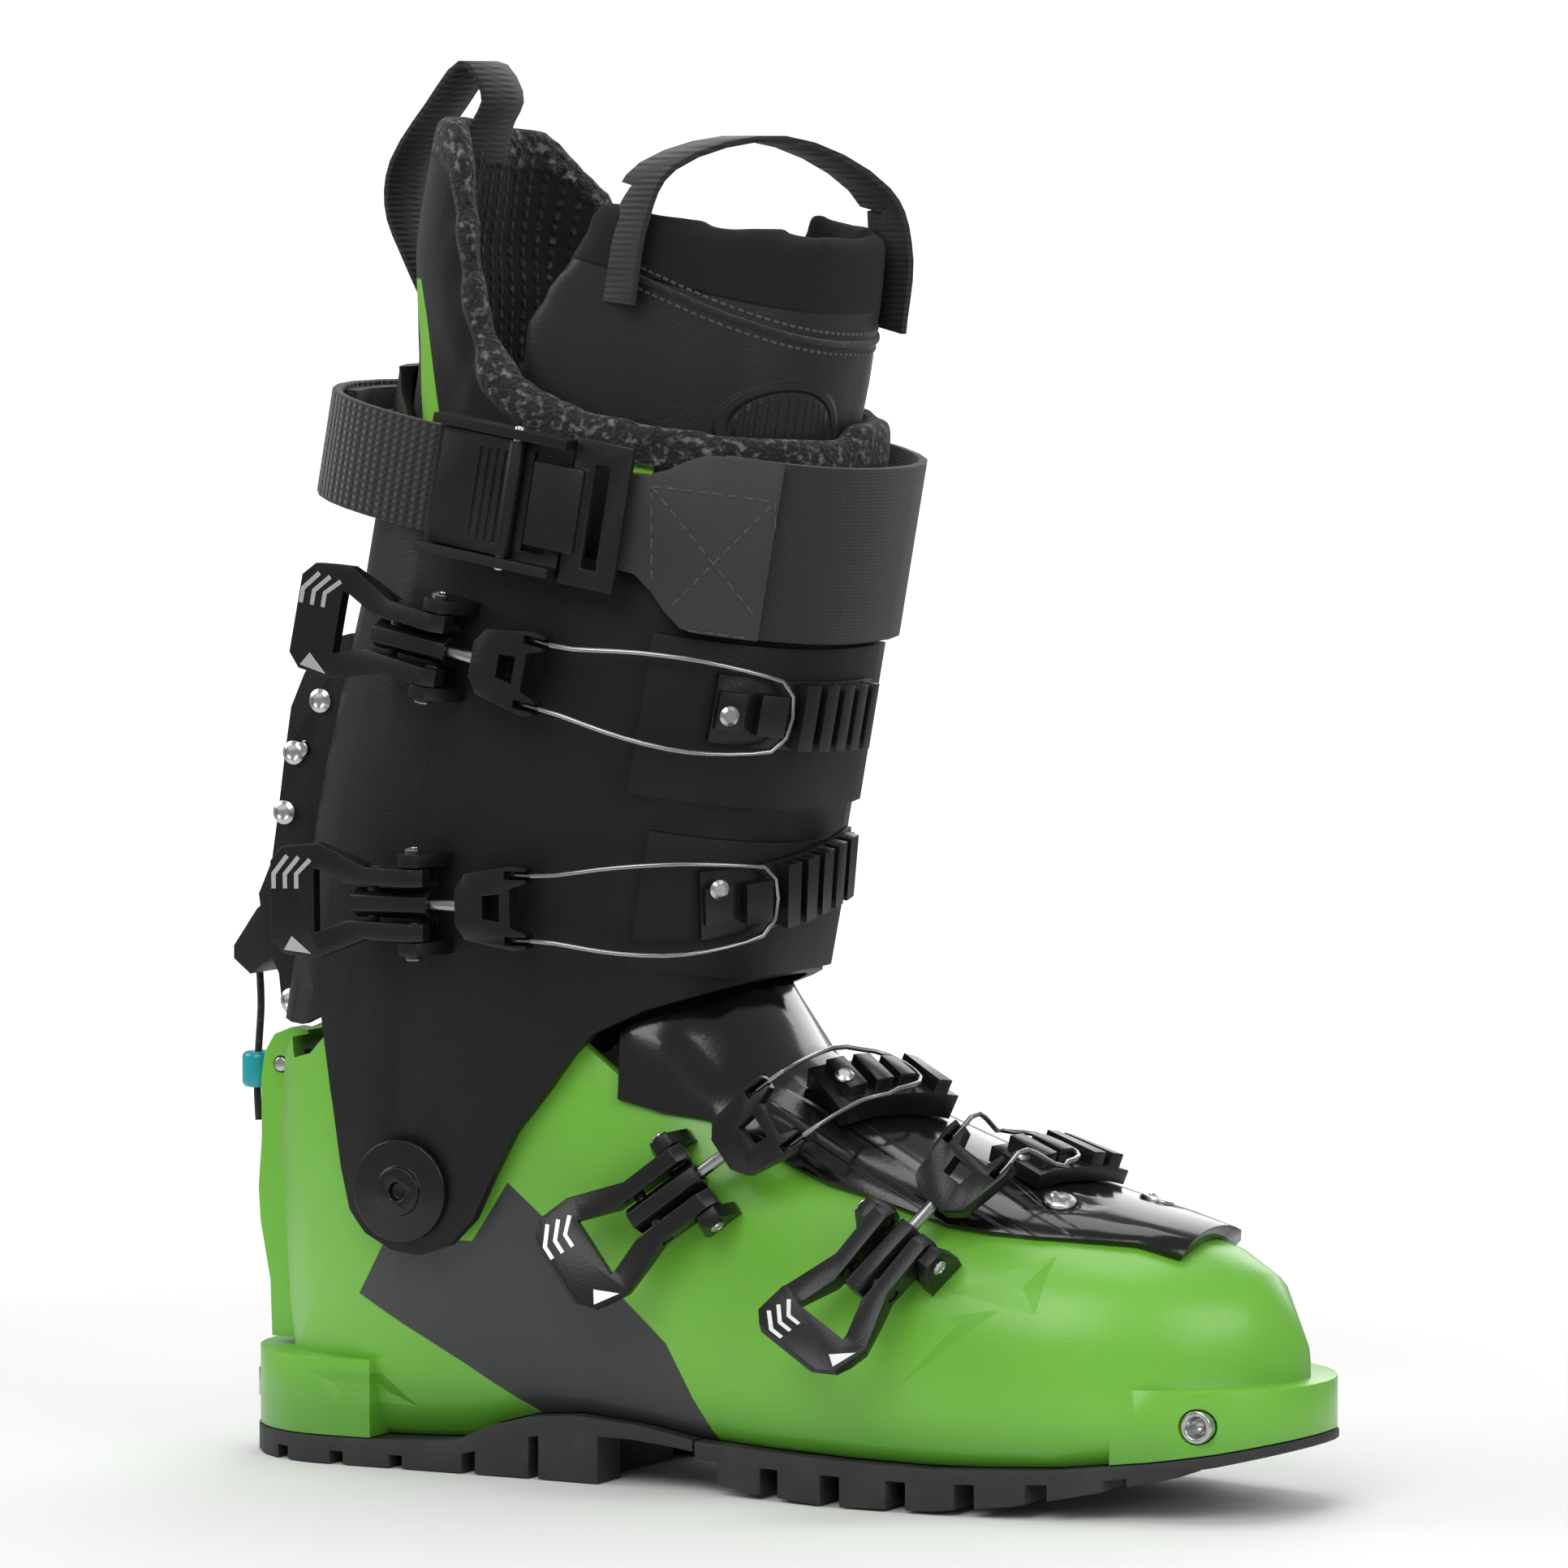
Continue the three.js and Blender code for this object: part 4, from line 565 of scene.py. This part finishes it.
def tongueCloth():
    material, tree, shader = newMaterial("tongue_cloth")
    place = here(tree)
    x, y, z = axisOf(tree, place, "X"), axisOf(tree, place, "Y"), axisOf(tree, place, "Z")
    plain = useGroup(tree, knit, place, Size=2100.0, Flecks=0.06)
    leather = useGroup(tree, grain, place, Size=1300.0)
    over = less(tree, plus(tree, z, times(tree, x, welt["fall"])), welt["height"])
    plush = ramp(tree, over, -0.0004, 0.0004)
    inner = ramp(tree, attribute(tree, "inward"), -0.1, 0.25)
    plush = maths(tree, "MAXIMUM", plush, inner)
    panel = mixColour(tree, leather["Blotch"], (0.0105, 0.0115, 0.0120), (0.0165, 0.0175, 0.0180))
    cloth = mixColour(tree, plain["Fleck"], (0.0075, 0.0075, 0.008), (0.02, 0.02, 0.021))
    wire(tree, mixColour(tree, plush, panel, cloth), shader.inputs["Base Color"])
    wire(tree, plus(tree, times(tree, plush, 0.42), 0.44), shader.inputs["Roughness"])
    shader.inputs["Sheen Weight"].default_value = 0.06
    shader.inputs["Specular IOR Level"].default_value = 0.32
    # embossed lens of upright ribs on the panel, low at the front
    wrapped = roundLeg(tree)
    run, rise = axisOf(tree, wrapped, "X"), axisOf(tree, wrapped, "Y")
    lens = put(tree, "ShaderNodeVectorMath", operation="LENGTH")
    join = put(tree, "ShaderNodeCombineXYZ")
    wire(tree, maths(tree, "DIVIDE", plus(tree, run, 0.031), 0.024), join.inputs["X"])
    wire(tree, maths(tree, "DIVIDE", less(tree, rise, 0.2865), 0.0105), join.inputs["Y"])
    wire(tree, join.outputs[0], lens.inputs[0])
    within = ramp(tree, lens.outputs["Value"], 1.0, 0.88)
    outside = ramp(tree, lens.outputs["Value"], 1.28, 1.2)
    ring = times(tree, outside, ramp(tree, lens.outputs["Value"], 1.0, 1.08))
    ribs = ramp(tree, maths(tree, "SINE", times(tree, run, 6.2832 / 0.0042)), -0.2, 0.5)
    ribLift = times(tree, times(tree, ribs, within), 0.0011)
    emboss = plus(tree, times(tree, ring, 0.0010), ribLift)
    emboss = times(tree, emboss, less(tree, 1.0, plush))
    fibres = plus(tree, times(tree, plain["Height"], plush), leather["Height"])
    skin = times(tree, fibres, 0.00008)
    ridge = times(tree, plush, 0.0011)
    bumpInto(tree, shader, plus(tree, plus(tree, emboss, skin), ridge), 1.0)
    return material


materials = {name: plastic(name) for name in plastics}
materials["collar_cloth"] = collarCloth()
materials["tongue_cloth"] = tongueCloth()
materials["shell_green"] = shellGreen()
materials["outsole_rubber"] = rubber()
materials["insert_steel"] = steel("insert_steel")
materials["buckle_steel"] = steel("buckle_steel", (0.36, 0.365, 0.37), 0.24)
materials["silver_paint"] = steel("silver_paint", (0.74, 0.745, 0.75), 0.42)
materials["webbing_black"] = webbing("webbing_black", 560.0, 520.0, (0.008, 0.008, 0.009))
materials["webbing_loop"] = webbing("webbing_loop", 640.0, 90.0, (0.009, 0.009, 0.010), 0.00022, True)
materials["strap_band"] = webbing("strap_band", 1250.0, 1100.0, (0.009, 0.009, 0.010), 0.00009)
materials["liner_textile"] = textile("liner_textile", (0.0085, 0.0085, 0.0095), 0.12, 1900.0, 0.0002)
materials["cord_black"] = textile("cord_black", (0.010, 0.010, 0.011), 0.2, 1800.0, 0.0002)
materials["tongue_panel"] = thermoformed()
materials["thread"] = textile("thread", (0.05, 0.05, 0.054), 0.3, 2500.0, 0.0001)
print("materials made:", len(materials))


# picking and cleaning
def onlySelect(piece):
    bpy.ops.object.select_all(action="DESELECT")
    piece.hide_set(False)
    piece.select_set(True)
    bpy.context.view_layer.objects.active = piece


def setMaterial(piece, *names):
    piece.data.materials.clear()
    for name in names:
        piece.data.materials.append(materials[name])


def settle(piece, body):
    onlySelect(piece)
    bpy.ops.object.transform_apply(location=True, rotation=True, scale=True)
    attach(piece, body)


def useModifier(piece, kind, **values):
    modifier = piece.modifiers.new(kind.lower(), kind)
    for key, value in values.items():
        setattr(modifier, key, value)
    onlySelect(piece)
    bpy.ops.object.modifier_apply(modifier=modifier.name)


def mergedCopy(node, name):
    source = frame["nodes"][node]
    piece = bpy.data.objects.new(name, source.data.copy())
    bpy.context.scene.collection.objects.link(piece)
    onlySelect(piece)
    bpy.ops.object.mode_set(mode="EDIT")
    bpy.ops.mesh.select_all(action="SELECT")
    bpy.ops.mesh.remove_doubles(threshold=0.00002)
    bpy.ops.mesh.dissolve_limited(angle_limit=math.radians(0.6))
    bpy.ops.object.mode_set(mode="OBJECT")
    return piece


# Every hard node is finished the same way: merged, its edges broken, and shaded smooth between them.
finishes = {
    # width of the broken edge in mm, angle it starts at, angle that stays crisp
    "usual": (0.45, 38, 34),
    "shell": (0.9, 40, 38),
    "small": (0.25, 38, 34),
    "strap": (0.35, 50, 40),
}
finishOf = {node: "shell" for node in ("lower_shell", "cuff", "instep_tongue")}
for node in ("power_strap", "strap_webbing", "heel_pull_loop", "tongue_pull_loop", "strap_hook_tab"):
    finishOf[node] = "strap"
for buckle in buckleNames:
    for part in ("barrel", "rod", "yoke", "cable"):
        finishOf[f"buckle_{buckle}_{part}"] = "small"
otherMaterial = {"heel_pull_loop": "webbing_loop", "tongue_pull_loop": "webbing_loop", "power_strap": "strap_band"}
otherMaterial["strap_hook_tab"] = "tongue_panel"
otherMaterial["strap_rear_pad"] = "cuff_black"
softNodes = ["liner_collar", "liner_tongue", "liner_foot", "pull_cord"]


def finishNode(node):
    width, from_, crisp = finishes[finishOf.get(node, "usual")]
    piece = mergedCopy(node, node + "_finished")
    useModifier(
        piece, "BEVEL", width=width * mm, segments=2, limit_method="ANGLE",
        angle_limit=math.radians(from_), use_clamp_overlap=True, harden_normals=False,
    )
    onlySelect(piece)
    bpy.ops.object.shade_smooth_by_angle(angle=math.radians(crisp))
    setMaterial(piece, otherMaterial.get(node, slotOf[node]))
    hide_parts(node)
    settle(piece, bodyOf[node])
    return piece


finished = {node: finishNode(node) for node in slotOf if node not in softNodes}
print("hard pieces finished:", len(finished))


# The liner is foam and cloth: remeshed, swelled a little where it stands free of the shell, and rounded.
liners = {
    "liner_collar": {"voxel": 3.2, "swell": 2.6, "from": 0.262, "full": 0.315, "fill": 0.75},
    "liner_tongue": {"voxel": 3.0, "swell": 2.2, "from": 0.275, "full": 0.320, "fill": 0.7},
    "liner_foot": {"voxel": 3.6, "swell": 0.0, "from": 0.5, "full": 0.6, "fill": 0.7},
}


def swellByCloth(piece, reach, low, high):
    start = [vertex.co.copy() for vertex in piece.data.vertices]
    cloth = piece.modifiers.new("cloth", "CLOTH")
    cloth.settings.use_pressure = True
    cloth.settings.uniform_pressure_force = 4
    cloth.settings.effector_weights.gravity = 0
    cloth.settings.quality = 4
    cloth.point_cache.frame_start = 1
    cloth.point_cache.frame_end = 20
    for step in range(1, 21):
        bpy.context.scene.frame_set(step)
    seen = piece.evaluated_get(bpy.context.evaluated_depsgraph_get())
    puffed = [vertex.co.copy() for vertex in seen.data.vertices]
    piece.modifiers.remove(cloth)
    bpy.context.scene.frame_set(1)
    for vertex, before, after in zip(piece.data.vertices, start, puffed):
        share = min(1, max(0, (before.z - low) / (high - low)))
        move = after - before
        limit = reach * mm * share
        if move.length > limit:
            move = move.normalized() * limit
        vertex.co = before + move


def makeLiner(node, spec):
    piece = mergedCopy(node, node + "_soft")
    useModifier(piece, "REMESH", mode="VOXEL", voxel_size=spec["voxel"] * mm)
    useModifier(piece, "SMOOTH", factor=0.5, iterations=4)
    if spec["swell"]:
        swellByCloth(piece, spec["swell"], spec["from"], spec["full"])
        useModifier(piece, "SMOOTH", factor=0.4, iterations=2)
    if node != "liner_foot":
        useModifier(piece, "SUBSURF", levels=1, render_levels=1)
    onlySelect(piece)
    bpy.ops.object.shade_smooth()
    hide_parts(node)
    return piece


linerPieces = {node: makeLiner(node, spec) for node, spec in liners.items()}


legAxis = Vector((math.sin(lean), 0, math.cos(lean)))
legFoot = Vector((0.0385, 0, 0.19))


# Each point of the liner keeps how far it is below the rim near it, and whether it faces the leg.
def markCloth(piece, sectors=60):
    mesh = piece.data
    tops = [-1.0] * sectors
    seen = []
    for vertex in mesh.vertices:
        offset = vertex.co - legFoot
        rise = offset.dot(legAxis)
        flat = offset - legAxis * rise
        share = (math.atan2(flat.y, flat.x) / (2 * math.pi)) % 1 * sectors
        sector = int(share) % sectors
        tops[sector] = max(tops[sector], rise)
        seen.append((share, rise, -vertex.normal.dot(flat.normalized())))
    rim = mesh.attributes.new("rimDistance", "FLOAT", "POINT")
    inward = mesh.attributes.new("inward", "FLOAT", "POINT")
    for vertex, (share, rise, facing) in zip(mesh.vertices, seen):
        place = share - 0.5
        low = int(math.floor(place))
        part = place - low
        a, b = tops[low % sectors], tops[(low + 1) % sectors]
        top = a + (b - a) * part if min(a, b) > 0 else max(a, b)
        rim.data[vertex.index].value = rise - top
        inward.data[vertex.index].value = facing


for node, material in (("liner_collar", "collar_cloth"), ("liner_tongue", "tongue_cloth")):
    markCloth(linerPieces[node])
    setMaterial(linerPieces[node], material)
setMaterial(linerPieces["liner_foot"], "liner_textile")
for node, piece in linerPieces.items():
    settle(piece, bodyOf[node])
print("liner made")


# the pull cord on the walk lever, on the same route as its solid
cordSpec = {
    "diameter": 2.0,
    "top": (-71.5, 127.2),
    "route": [(0, 0), (0.4, -10), (-0.4, -22), (-0.8, -32), (-0.4, -41)],
}


def routePoints():
    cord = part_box("pull_cord")
    top = Vector(((cord[0].x + cord[1].x) / 2, 0, cord[1].z))
    return [top + Vector((x * mm, 0, z * mm)) for x, z in cordSpec["route"]]


def makeCord():
    curve = bpy.data.curves.new("pullCord", "CURVE")
    curve.dimensions = "3D"
    curve.bevel_depth = cordSpec["diameter"] * mm / 2
    curve.bevel_resolution = 4
    curve.use_fill_caps = True
    spline = curve.splines.new("POLY")
    points = routePoints()
    fine = []
    for index in range(len(points) - 1):
        before = points[max(index - 1, 0)]
        start, end = points[index], points[index + 1]
        after = points[min(index + 2, len(points) - 1)]
        for step in range(6):
            t = step / 6
            fine.append(
                0.5 * ((2 * start) + (end - before) * t + (2 * before - 5 * start + 4 * end - after) * t * t
                + (3 * start - before - 3 * end + after) * t * t * t)
            )
    fine.append(points[-1])
    spline.points.add(len(fine) - 1)
    for point, place in zip(spline.points, fine):
        point.co = (*place, 1)
    piece = bpy.data.objects.new("pullCord", curve)
    bpy.context.scene.collection.objects.link(piece)
    curve.materials.append(materials["cord_black"])
    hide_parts("pull_cord")
    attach(piece, "walk_lever")


placeCamera()
placeLights()
makeCord()
print("camera, lights and cord placed")


# turned pieces: a disc drawn out, inset and rounded, then stood on the surface
def stand(piece, place, normal):
    piece.rotation_euler = Vector(normal).to_track_quat("Z", "Y").to_euler()
    piece.location = place


rivets = {"ring": 0.62, "rise": 1.15, "sides": 28}


def rivet(name, place, normal, radius, body, dome=1.0, material="insert_steel"):
    bpy.ops.object.select_all(action="DESELECT")
    bpy.ops.mesh.primitive_circle_add(vertices=rivets["sides"], radius=radius * mm, fill_type="NGON")
    piece = bpy.context.object
    piece.name = name
    bpy.ops.object.mode_set(mode="EDIT")
    bpy.ops.mesh.select_all(action="SELECT")
    bpy.ops.mesh.extrude_region_move(TRANSFORM_OT_translate={"value": (0, 0, 0.55 * mm * dome)})
    for share, lift in ((0.92, 0.28), (0.78, 0.22), (0.5, 0.14)):
        bpy.ops.mesh.inset(thickness=radius * mm * 0.16 * share)
        bpy.ops.transform.translate(value=(0, 0, lift * mm * dome))
    bpy.ops.mesh.inset(thickness=radius * mm * 0.08)
    bpy.ops.transform.translate(value=(0, 0, -0.3 * mm))
    bpy.ops.object.mode_set(mode="OBJECT")
    bpy.ops.object.shade_smooth_by_angle(angle=math.radians(50))
    stand(piece, place, normal)
    setMaterial(piece, material)
    settle(piece, body)
    return piece


# Where a line from outside first meets a finished piece.
def touch(piece, start, way):
    found, place, normal, _ = piece.ray_cast(Vector(start), Vector(way).normalized())
    return (place, normal) if found else (None, None)


bracketRivets = {"places": [(-42, 201), (-50, 187), (-53, 171), (-51, 121)], "radius": 3.2}
for side, way in (("lateral", 1), ("medial", -1)):
    for number, (x, z) in enumerate(bracketRivets["places"]):
        place, normal = touch(finished["spine_bracket"], (x * mm, -0.12 * way, z * mm), (0, way, 0))
        if place:
            rivet(f"bracket_rivet_{side}_{number}", place, normal, bracketRivets["radius"], "cuff")
    place, normal = touch(finished["lower_shell"], (-58 * mm, -0.12 * way, 103 * mm), (0, way, 0))
    if place:
        rivet(f"spine_rivet_{side}", place, normal, 3.4, "shell")

# the ladders' rivets, and the screws' heads
ladderRivets = {"toe": 0.2, "instep": 0.24, "cuff_lower": 0.12, "cuff_upper": 0.12}
for buckle, share in ladderRivets.items():
    ladder = finished["ladder_" + buckle]
    low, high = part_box("ladder_" + buckle)
    middle = (low + high) / 2
    spot = Vector((low.x, low.y, middle.z)) * (1 - share) + Vector((high.x, high.y, middle.z)) * share
    if buckle in ("toe", "instep"):
        spot = Vector((low.x + (high.x - low.x) * 0.30, low.y + (high.y - low.y) * 0.16, 0))
        start = (spot.x + 0.05, spot.y - 0.02, high.z + 0.05)
        place, normal = touch(ladder, start, (-0.05, 0.02, -0.05 - (high.z - middle.z)))
    else:
        place, normal = touch(ladder, (spot.x + 0.05, spot.y - 0.06, middle.z), (-0.05, 0.06, 0))
    if place:
        rivet("ladder_rivet_" + buckle, place, normal, 2.6, bodyOf["ladder_" + buckle])
for side in ("lateral", "medial"):
    low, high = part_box("tongue_screw_" + side)
    middle = (low + high) / 2
    start = (middle.x + 0.02, middle.y, high.z + 0.05)
    place, normal = touch(finished["tongue_screw_" + side], start, (-0.02, 0, -0.05))
    if place:
        rivet("screw_socket_" + side, place, normal, 2.0, "shell", dome=0.4)
print("rivets set")


# running stitches: short threads laid on a surface between two places
stitches = {"long": 2.4, "gap": 1.3, "thick": 0.33}


def stitchLine(name, piece, outside, corners, body, material="thread", thick=None):
    thick = thick or stitches["thick"]
    pitch = (stitches["long"] + stitches["gap"]) * mm
    made = []
    for start, end in zip(corners, corners[1:]):
        start, end = Vector(start), Vector(end)
        count = max(1, int((end - start).length / pitch))
        for index in range(count):
            ends = []
            for share in (index, index + stitches["long"] / (stitches["long"] + stitches["gap"])):
                spot = start.lerp(end, share / count)
                place, normal = touch(piece, spot + Vector(outside) * 0.06, -Vector(outside))
                if place:
                    ends.append((place, normal))
            if len(ends) == 2:
                made.append(ends)
    if not made:
        return None
    bpy.ops.object.select_all(action="DESELECT")
    bpy.ops.mesh.primitive_cylinder_add(vertices=6, radius=1, depth=1, end_fill_type="NGON")
    seed = bpy.context.object
    bpy.ops.object.mode_set(mode="EDIT")
    bpy.ops.mesh.select_all(action="SELECT")
    bpy.ops.mesh.bevel(offset=0.22, segments=1)
    bpy.ops.object.mode_set(mode="OBJECT")
    copies = []
    for (first, normalA), (last, normalB) in made:
        copy = seed.copy()
        copy.data = seed.data.copy()
        bpy.context.scene.collection.objects.link(copy)
        run = last - first
        copy.location = (first + last) / 2 + (normalA + normalB) * thick * mm * 0.15
        copy.rotation_euler = run.to_track_quat("Z", "Y").to_euler()
        copy.scale = (thick * mm, thick * mm, run.length)
        copies.append(copy)
    bpy.data.objects.remove(seed)
    bpy.ops.object.select_all(action="DESELECT")
    for copy in copies:
        copy.select_set(True)
    bpy.context.view_layer.objects.active = copies[0]
    if len(copies) > 1:
        bpy.ops.object.join()
    piece = bpy.context.view_layer.objects.active
    piece.name = name
    setMaterial(piece, material)
    settle(piece, body)
    onlySelect(piece)
    bpy.ops.object.shade_smooth_by_angle(angle=math.radians(60))
    return piece


# each buckle's own axes, from its two pins: along the link, off the boot, and across
joints = {joint["name"]: joint for joint in frame["joints"]}


def buckleAxes(buckle):
    pivot = Vector(joints[buckle + "_lever_pivot"]["pos_m"])
    link = Vector(joints[buckle + "_link_pivot"]["pos_m"])
    across = -Vector(joints[buckle + "_lever_pivot"]["axis"]).normalized()
    lean_ = math.atan2(1.5, 13)
    slant = (pivot - link).normalized()
    up = across.cross(slant).normalized()
    along = (slant * math.cos(lean_) - up * math.sin(lean_)).normalized()
    return pivot, link, along, across.cross(along).normalized(), across


inlays = {
    "lift": 0.05,
    "thick": 0.3,
    "chevrons": [(0.0, 1.0), (2.9, 0.93), (5.8, 0.8)],
    "facet": [(-37.6, 13.0), (-30.6, 14.0), (-35.6, 9.4)],
}


def inlay(name, lever, axes, outline, body):
    pivot, _, along, off, across = axes
    base = pivot - off * 9.5 * mm
    spots = []
    for x, z in outline:
        start = base + along * x * mm + across * z * mm + off * 40 * mm
        place, _ = touch(lever, start, -off)
        if not place:
            return None
        spots.append(place + off * inlays["lift"] * mm)
    bpy.ops.object.select_all(action="DESELECT")
    bpy.ops.mesh.primitive_circle_add(vertices=len(outline), radius=0.001, fill_type="NGON")
    piece = bpy.context.object
    piece.name = name
    for vertex, spot in zip(piece.data.vertices, spots):
        vertex.co = spot
    bpy.ops.object.mode_set(mode="EDIT")
    bpy.ops.mesh.select_all(action="SELECT")
    bpy.ops.mesh.extrude_region_move(TRANSFORM_OT_translate={"value": off * inlays["thick"] * mm})
    bpy.ops.mesh.select_all(action="SELECT")
    bpy.ops.mesh.normals_make_consistent(inside=False)
    bpy.ops.mesh.bevel(offset=0.08 * mm, segments=1)
    bpy.ops.object.mode_set(mode="OBJECT")
    setMaterial(piece, "silver_paint")
    settle(piece, body)
    return piece


for buckle in buckleNames:
    axes = buckleAxes(buckle)
    pivot, link, along, off, across = axes
    lever = finished[f"buckle_{buckle}_lever"]
    leverBody = bodyOf[f"buckle_{buckle}_lever"]
    baseBody = bodyOf[f"buckle_{buckle}_base"]
    for number, (shift, size) in enumerate(inlays["chevrons"]):
        outline = [
            (-40.6 + shift, -3.0), (-40.6 + shift, -7.0), (-36.9 + shift, -7.0 - 5.0 * size),
            (-36.1 + shift, -6.2 - 5.0 * size), (-39.5 + shift, -6.6), (-39.5 + shift, -3.0),
        ]
        inlay(f"chevron_{buckle}_{number}", lever, axes, outline, leverBody)
    inlay("facet_" + buckle, lever, axes, inlays["facet"], leverBody)
    for side, way in (("upper", -1), ("lower", 1)):
        base = finished[f"buckle_{buckle}_base"]
        place, normal = touch(base, pivot + across * way * 30 * mm, -across * way)
        if place:
            rivet(f"pin_head_{buckle}_{side}", place, across * way, 2.0, baseBody, 0.6)
        place, normal = touch(lever, link + across * way * 30 * mm, -across * way)
        if place:
            rivet(f"link_pin_{buckle}_{side}", place, across * way, 1.7, leverBody, 0.5)
print("buckle inlays and pins set")


# stitches and piping that run round the leg are given as angle and height
def roundSpot(piece, degrees, height, far=0.12):
    centre = legFoot + legAxis * ((height - legFoot.z) / legAxis.z)
    turn = math.radians(degrees)
    out = Vector((math.cos(turn) * math.cos(lean), math.sin(turn), -math.cos(turn) * math.sin(lean)))
    return touch(piece, centre + out * far, -out)


def tube(name, points, radius, body, material):
    curve = bpy.data.curves.new(name, "CURVE")
    curve.dimensions = "3D"
    curve.bevel_depth = radius * mm
    curve.bevel_resolution = 3
    curve.use_fill_caps = True
    spline = curve.splines.new("POLY")
    spline.points.add(len(points) - 1)
    for point, place in zip(spline.points, points):
        point.co = (*place, 1)
    piece = bpy.data.objects.new(name, curve)
    bpy.context.scene.collection.objects.link(piece)
    onlySelect(piece)
    bpy.ops.object.convert(target="MESH")
    piece = bpy.context.object
    bpy.ops.object.shade_smooth()
    setMaterial(piece, material)
    settle(piece, body)
    return piece


def weltHeight(piece, degrees, shift=0.0):
    height = 0.31
    for _ in range(4):
        place, _normal = roundSpot(piece, degrees, height)
        if not place:
            return None
        height = welt["height"] - welt["fall"] * place.x + shift
    return height


def weltPiping():
    tongue = linerPieces["liner_tongue"]
    points, rows = [], {"thread_row_over": [], "thread_row_under": []}
    for degrees in range(-92, 73, 3):
        height = weltHeight(tongue, degrees)
        place, normal = roundSpot(tongue, degrees, height) if height else (None, None)
        if place and place.z > 0.28:
            points.append(place + normal * 0.2 * mm)
            for name, shift in (("thread_row_over", 0.0026), ("thread_row_under", -0.0026)):
                spot, facing = roundSpot(tongue, degrees, height + shift)
                if spot:
                    rows[name].append((spot, facing))
    if len(points) > 3:
        tube("tongue_welt", points, 0.9, "cuff", "liner_textile")
    for name, places in rows.items():
        runs = [(a[0].lerp(b[0], 0.15), a[0].lerp(b[0], 0.75), a[1]) for a, b in zip(places, places[1:])]
        threads(name, runs, "cuff", "liner_textile")


def threads(name, runs, body, slotName, material="thread"):
    copies = []
    bpy.ops.object.select_all(action="DESELECT")
    bpy.ops.mesh.primitive_cylinder_add(vertices=6, radius=1, depth=1, end_fill_type="NGON")
    seed = bpy.context.object
    for first, last, normal in runs:
        copy = seed.copy()
        copy.data = seed.data.copy()
        bpy.context.scene.collection.objects.link(copy)
        run = last - first
        copy.location = (first + last) / 2 + normal * 0.1 * mm
        copy.rotation_euler = run.to_track_quat("Z", "Y").to_euler()
        copy.scale = (0.36 * mm, 0.36 * mm, run.length)
        copies.append(copy)
    bpy.data.objects.remove(seed)
    if not copies:
        return None
    bpy.ops.object.select_all(action="DESELECT")
    for copy in copies:
        copy.select_set(True)
    bpy.context.view_layer.objects.active = copies[0]
    if len(copies) > 1:
        bpy.ops.object.join()
    piece = bpy.context.view_layer.objects.active
    piece.name = name
    setMaterial(piece, material)
    settle(piece, body)
    return piece


weltPiping()
print("welt piped and sewn")

# the hook tab's box and cross of stitches
tabLow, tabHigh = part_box("strap_hook_tab")
tabSpec = {"left": 0.30, "right": 0.93, "top": 0.86, "bottom": 0.12, "out": (0.42, -0.90, 0.12)}


def tabSpot(across, up):
    x = tabLow.x + (tabHigh.x - tabLow.x) * across
    y = tabLow.y + (tabHigh.y - tabLow.y) * across
    z = tabLow.z + (tabHigh.z - tabLow.z) * up
    return (x, y, z - across * 0.006)


out = Vector(tabSpec["out"]).normalized()
left, right, top, bottom = tabSpec["left"], tabSpec["right"], tabSpec["top"], tabSpec["bottom"]
box = [tabSpot(left, top), tabSpot(right, top), tabSpot(right, bottom), tabSpot(left, bottom), tabSpot(left, top)]
tabLines = {
    "box": box,
    "down": [tabSpot(left, top), tabSpot(right, bottom)],
    "up": [tabSpot(left, bottom), tabSpot(right, top)],
}
for name, corners in tabLines.items():
    stitchLine("tab_stitch_" + name, finished["strap_hook_tab"], out, corners, "cuff")
print("stitches sewn")


bpy.ops.object.select_all(action="DESELECT")
bpy.ops.mesh.primitive_plane_add(size=6, location=(0, 0, -0.0003))
floor = bpy.context.object
floor.name = "floor"
floorMaterial, floorTree, floorShader = newMaterial("pale_floor")
cloudy = noise(floorTree, here(floorTree), 3.0, 2.0)
floorTone = mixColour(floorTree, cloudy, (0.86, 0.86, 0.86), (0.88, 0.88, 0.88))
wire(floorTree, floorTone, floorShader.inputs["Base Color"])
floorShader.inputs["Roughness"].default_value = 0.8
# the floor fades into the white backdrop away from the boot
away = put(floorTree, "ShaderNodeVectorMath", operation="LENGTH")
wire(floorTree, here(floorTree), away.inputs[0])
fade = put(floorTree, "ShaderNodeMixShader")
wire(floorTree, ramp(floorTree, away.outputs["Value"], 0.30, 0.60), fade.inputs[0])
wire(floorTree, floorShader.outputs[0], fade.inputs[1])
wire(floorTree, put(floorTree, "ShaderNodeBsdfTransparent").outputs[0], fade.inputs[2])
wire(floorTree, fade.outputs[0], floorTree.nodes["Material Output"].inputs["Surface"])
floor.data.materials.append(floorMaterial)

bpy.context.view_layer.update()
